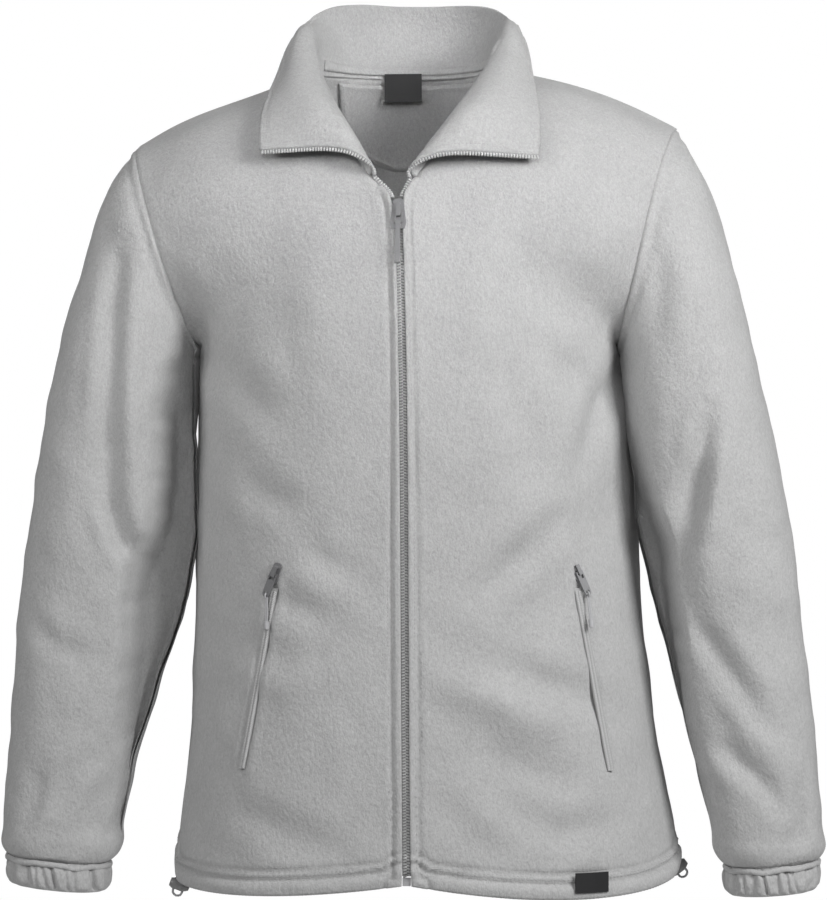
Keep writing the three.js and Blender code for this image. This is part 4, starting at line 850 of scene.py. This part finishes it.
# Half-moon patch: a second layer of fleece laid inside the back neck and stitched round twice, which
# leaves a raised edge
PATCH_EDGE = {"rows": [1.8, 5.6], "sunk": 1.6, "ridge": 1.1, "ridge_at": 3.8}
patch = panel_from("back_neck_patch", "back_neck_patch_cloth", 3)
patch_points = points_of(patch)
patch_away = distance_to(patch_points, rim_points(patch))
patch_points[:, 1] += PATCH_EDGE["sunk"] * smooth_step(-patch_away, -2.6, 0)
patch_points[:, 1] -= PATCH_EDGE["ridge"] * groove(patch_away, PATCH_EDGE["ridge_at"], 1.5)
patch_points[:, 1] -= smooth_step(patch_away, 5, 12) * ripple(patch_points, 20, 0.8, 7.7)
finish_panel(
    patch, patch_points, ["back_neck_patch"], body_fleece,
)
patch_cloth = surface_of(patch)
places = []
for loop in rim_loops("back_neck_patch", 1.6):
    if loop["outward"][:, 1].mean() < 0:
        for inset in PATCH_EDGE["rows"]:
            places += stitch_row(loop, inset, lambda edge: edge[:, 2] < 0, patch_cloth)
repeated("back_neck_patch_stitches", stitch_shape, places, thread)

# Neck tape: a strip of the same fleece that covers the collar seam, caught down along both edges
tape_cloth = panel_from("neck_tape", "neck_tape_cloth", 2)
tape_points = points_of(tape_cloth)
tape_points[:, 1] -= 0.8 * smooth_step(distance_to(tape_points, rim_points(tape_cloth)), 0.5, 2.5)
finish_panel(
    tape_cloth, tape_points, ["neck_tape"], body_fleece,
)

# Closed chain of the front zip: moulded teeth from both sides, clenched on dark woven tape between the
# folded edges of the fronts. The open teeth run on up the lapels and along the collar's ends.
CHAIN = {
    "low": -674, "high": -121, "pitch": 2.45, "apart": 1.35, "slant": 14, "half_tape": 3.6, "tape_sunk": 1.3,
}
TOOTH = {"wide": 3.3, "deep": 2.3, "tall": 1.6, "round": 0.45}
TOOTH_GREY = 0.48
tooth_plastic = thin_material("tooth_plastic", [TOOTH_GREY] * 3, 0.38, 0.0, 900, 0.08)
zip_tape_weave = thin_material("zip_tape_weave", [0.22] * 3, 0.85, 0.0, 2200, 0.5)
open_tape_weave = thin_material("open_tape_weave", [0.27] * 3, 0.85, 0.0, 2200, 0.5)
tooth = bmesh.new()
bmesh.ops.create_cube(tooth, size=MM)
bmesh.ops.scale(tooth, verts=tooth.verts, vec=(TOOTH["wide"], TOOTH["deep"], TOOTH["tall"]))
bmesh.ops.bevel(
    tooth, geom=tooth.edges[:], offset=TOOTH["round"] * MM,
    affect="EDGES", segments=1, profile=0.5, material=-1,
)
tooth_shape = bpy.data.meshes.new("one_tooth")
tooth.to_mesh(tooth_shape)
tooth.free()


def ribbon(name, first, second, thick, material):
    """Flat strip between two lines of points in millimetres."""
    strip = bmesh.new()
    for line in (first, second):
        corners = [strip.verts.new(Vector(p) * MM) for p in line]
        for start, end in zip(corners, corners[1:]):
            strip.edges.new((start, end))
    bmesh.ops.bridge_loops(strip, edges=strip.edges[:])
    bmesh.ops.solidify(strip, geom=strip.faces[:], thickness=thick * MM)
    bmesh.ops.recalc_face_normals(strip, faces=strip.faces[:])
    data = bpy.data.meshes.new(name)
    strip.to_mesh(data)
    strip.free()
    data.materials.append(material)
    made = bpy.data.objects.new(name, data)
    bpy.context.scene.collection.objects.link(made)
    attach(made, "garment")
    return made


def face_depth(surface, across, height):
    """How far back the front of a piece lies at a place seen from the front."""
    found = surface.ray_cast(Vector((across, -400, height)) * MM, Vector((0, 1, 0)))
    return found[0].y / MM


chain_face = surface_of(frame["nodes"]["zip_chain"])
heights = np.arange(CHAIN["low"], CHAIN["high"], CHAIN["pitch"])
places = []
for way in (-1, 1):
    for k, height in enumerate(heights + (CHAIN["pitch"] / 2 if way > 0 else 0)):
        middle = zip_line(min(height, CHAIN["high"]))
        depth = face_depth(chain_face, middle, min(height, CHAIN["high"]))
        at = Vector((middle + way * CHAIN["apart"], depth + TOOTH["deep"] / 2, height)) * MM
        lean = Matrix.Rotation(math.radians(way * CHAIN["slant"]), 4, "Y")
        places.append(Matrix.Translation(at) @ lean)
closed_teeth = repeated("zip_chain_teeth", tooth_shape, places, tooth_plastic)
tape_line = [
    (zip_line(z), face_depth(chain_face, zip_line(z), z) + CHAIN["tape_sunk"], z) for z in heights[::4]
]
closed_tape = ribbon(
    "zip_chain_tape",
    [(x - CHAIN["half_tape"], y, z) for x, y, z in tape_line],
    [(x + CHAIN["half_tape"], y, z) for x, y, z in tape_line],
    0.8, zip_tape_weave,
)
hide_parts("zip_chain")

OPEN_ROUTES = {
    "right": [
        (-5.2, -111.6, -116.7), (-15.4, -106.6, -107.6), (-22.8, -104.6, -99.6), (-22.8, -109.1, -94.8),
        (-26.5, -111.9, -90.4), (-34.6, -113.7, -84.1), (-47.6, -113.7, -78.7), (-67.1, -110.7, -77.1),
        (-92.8, -105.2, -78.2), (-119.1, -99.6, -79.5),
    ],
    "left": [
        (-1.6, -111.6, -116.8), (2.9, -106.6, -108.8), (5.4, -104.4, -101.0), (4.6, -109.0, -96.5),
        (8.6, -112.1, -92.4), (17.0, -114.2, -86.8), (30.8, -114.7, -82.3), (52.4, -111.6, -81.5),
        (81.4, -105.7, -83.4), (111.2, -99.6, -85.5),
    ],
}


def eased(line, steps):
    """The same line with its corners rounded off."""
    for _ in range(steps):
        quarter = 0.75 * line[:-1] + 0.25 * line[1:]
        three = 0.25 * line[:-1] + 0.75 * line[1:]
        line = np.vstack([line[:1], np.stack([quarter, three], axis=1).reshape(-1, 3), line[-1:]])
    return line


for side, route in OPEN_ROUTES.items():
    clothes = [collar_cloth, surface_of(body_panels["front_" + side])]
    line = eased(np.array(route), 2)
    stops = [Vector(p) * MM for p in between_rows(line, along_line(line, CHAIN["pitch"]))]
    places = []
    inner_line = []
    outer_line = []
    for k, stop in enumerate(stops):
        nearest = min((cloth.find_nearest(stop)[0] for cloth in clothes), key=lambda p: (p - stop).length)
        away = (stop - nearest).normalized()
        run = (stops[min(k + 1, len(stops) - 1)] - stops[max(k - 1, 0)]).normalized()
        run = (run - away * run.dot(away)).normalized()
        through = away.cross(run)
        base = nearest + away * TOOTH["wide"] / 2 * MM
        turned = Matrix((away, -through, run)).transposed()
        if turned.determinant() < 0:
            turned = Matrix((away, through, run)).transposed()
        places.append(Matrix.Translation(base) @ turned.to_4x4())
        inner_line.append((nearest - away * MM) / MM)
        outer_line.append((nearest + away * 1.4 * MM) / MM)
    open_teeth = repeated("zip_open_teeth_" + side, tooth_shape, places, tooth_plastic)
    ribbon("zip_open_tape_" + side, inner_line, outer_line, 0.8, open_tape_weave)
    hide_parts("zip_teeth_" + side)

# Pocket zips: nylon coil in grey tape, sewn behind a slit in each front
COIL = {"half": 3.0, "pitch": 1.4, "long": 3.1, "thick": 0.8, "slant": 24, "apart": 1.2, "proud": 0.35}
coil_nylon = thin_material("coil_nylon", [0.46] * 3, 0.5, 0.0, 1500, 0.15)
pocket_tape_weave = thin_material("pocket_tape_weave", [0.36] * 3, 0.85, 0.0, 2200, 0.5)
loop_shape = stitch_shape.copy()
loop_shape.transform(Matrix.Diagonal((
    COIL["long"] / STITCH["long"], COIL["thick"] / STITCH["thick"], COIL["thick"] / STITCH["thick"], 1,
)))
for side in ("right", "left"):
    node = "pocket_zip_" + side
    face = surface_of(frame["nodes"][node])
    line = POCKET_LINES["front_" + side]
    low, top = np.array(line["low"], float), np.array(line["top"], float)
    length = float(np.linalg.norm(top - low))
    lean = math.atan2(top[0] - low[0], top[1] - low[1])
    places = []
    for k in range(int((length - 4) / COIL["pitch"])):
        x, z = low + (top - low) * (k * COIL["pitch"] + 2) / length
        for way in (-1, 1):
            across = way * COIL["apart"] * math.cos(lean)
            depth = face_depth(face, x + across, z)
            at = Vector((x + across, depth - COIL["proud"], z)) * MM
            turn = Matrix.Rotation(lean + math.radians(way * COIL["slant"]), 4, "Y")
            places.append(Matrix.Translation(at) @ turn)
    coil = repeated(node + "_coil", loop_shape, places, coil_nylon)
    stops = [low + (top - low) * f for f in np.linspace(0.005, 0.995, 40)]
    edges = {}
    for way in (-1, 1):
        beside = [Vector((x + way * COIL["half"], face_depth(face, x, z), z)) * MM for x, z in stops]
        edges[way] = [(p.x / MM, face.find_nearest(p)[0].y / MM + 0.3, p.z / MM) for p in beside]
    backing = ribbon(node + "_tape", edges[-1], edges[1], 0.8, pocket_tape_weave)
    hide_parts(node)

# Trim that keeps its solid's own form: sliders and tabs in grey painted metal, cords in grey plastic,
# dark cord locks and black satin labels.
TRIM = {
    "metal": {"colour": (0.2, 0.2, 0.205), "rough": 0.36, "metallic": 0.35, "grain": 700, "rise": 0.05},
    "plastic": {"colour": (0.36, 0.36, 0.37), "rough": 0.5, "metallic": 0.0, "grain": 900, "rise": 0.08},
    "toggle": {"colour": (0.2, 0.2, 0.2), "rough": 0.3, "metallic": 0.0, "grain": 400, "rise": 0.04},
    "label": {"colour": (0.006, 0.006, 0.007), "rough": 0.6, "metallic": 0.0, "grain": 1400, "rise": 0.15},
}
trim_finish = {
    name: thin_material(
        "trim_" + name, look["colour"], look["rough"], look["metallic"], look["grain"], look["rise"],
    )
    for name, look in TRIM.items()
}
slot_of = {part["node"]: part["material_slot"] for part in frame["record"]["subparts"]}
for node, piece in frame["nodes"].items():
    if slot_of[node] in trim_finish:
        piece.data.materials.clear()
        piece.data.materials.append(trim_finish[slot_of[node]])

# Hem label: a small blank satin tab that lies over the hem casing, caught in its seam
LABEL_TAB = {"left": 142.0, "right": 169.0, "top": -672.2, "low": -688.8, "clear": 0.35, "thick": 0.7}
hem_face = surface_of(body_panels["front_left"])
label_heights = np.linspace(LABEL_TAB["low"], LABEL_TAB["top"], 7)
label_top, label_low = [], []
for x in np.linspace(LABEL_TAB["left"], LABEL_TAB["right"], 14):
    depth = min(face_depth(hem_face, x, z) for z in label_heights) - LABEL_TAB["clear"] - LABEL_TAB["thick"]
    label_top.append((x, depth, LABEL_TAB["top"]))
    label_low.append((x, depth, LABEL_TAB["low"]))
label_tab = ribbon("hem_label_satin", label_top, label_low, LABEL_TAB["thick"], trim_finish["label"])
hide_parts("hem_label")
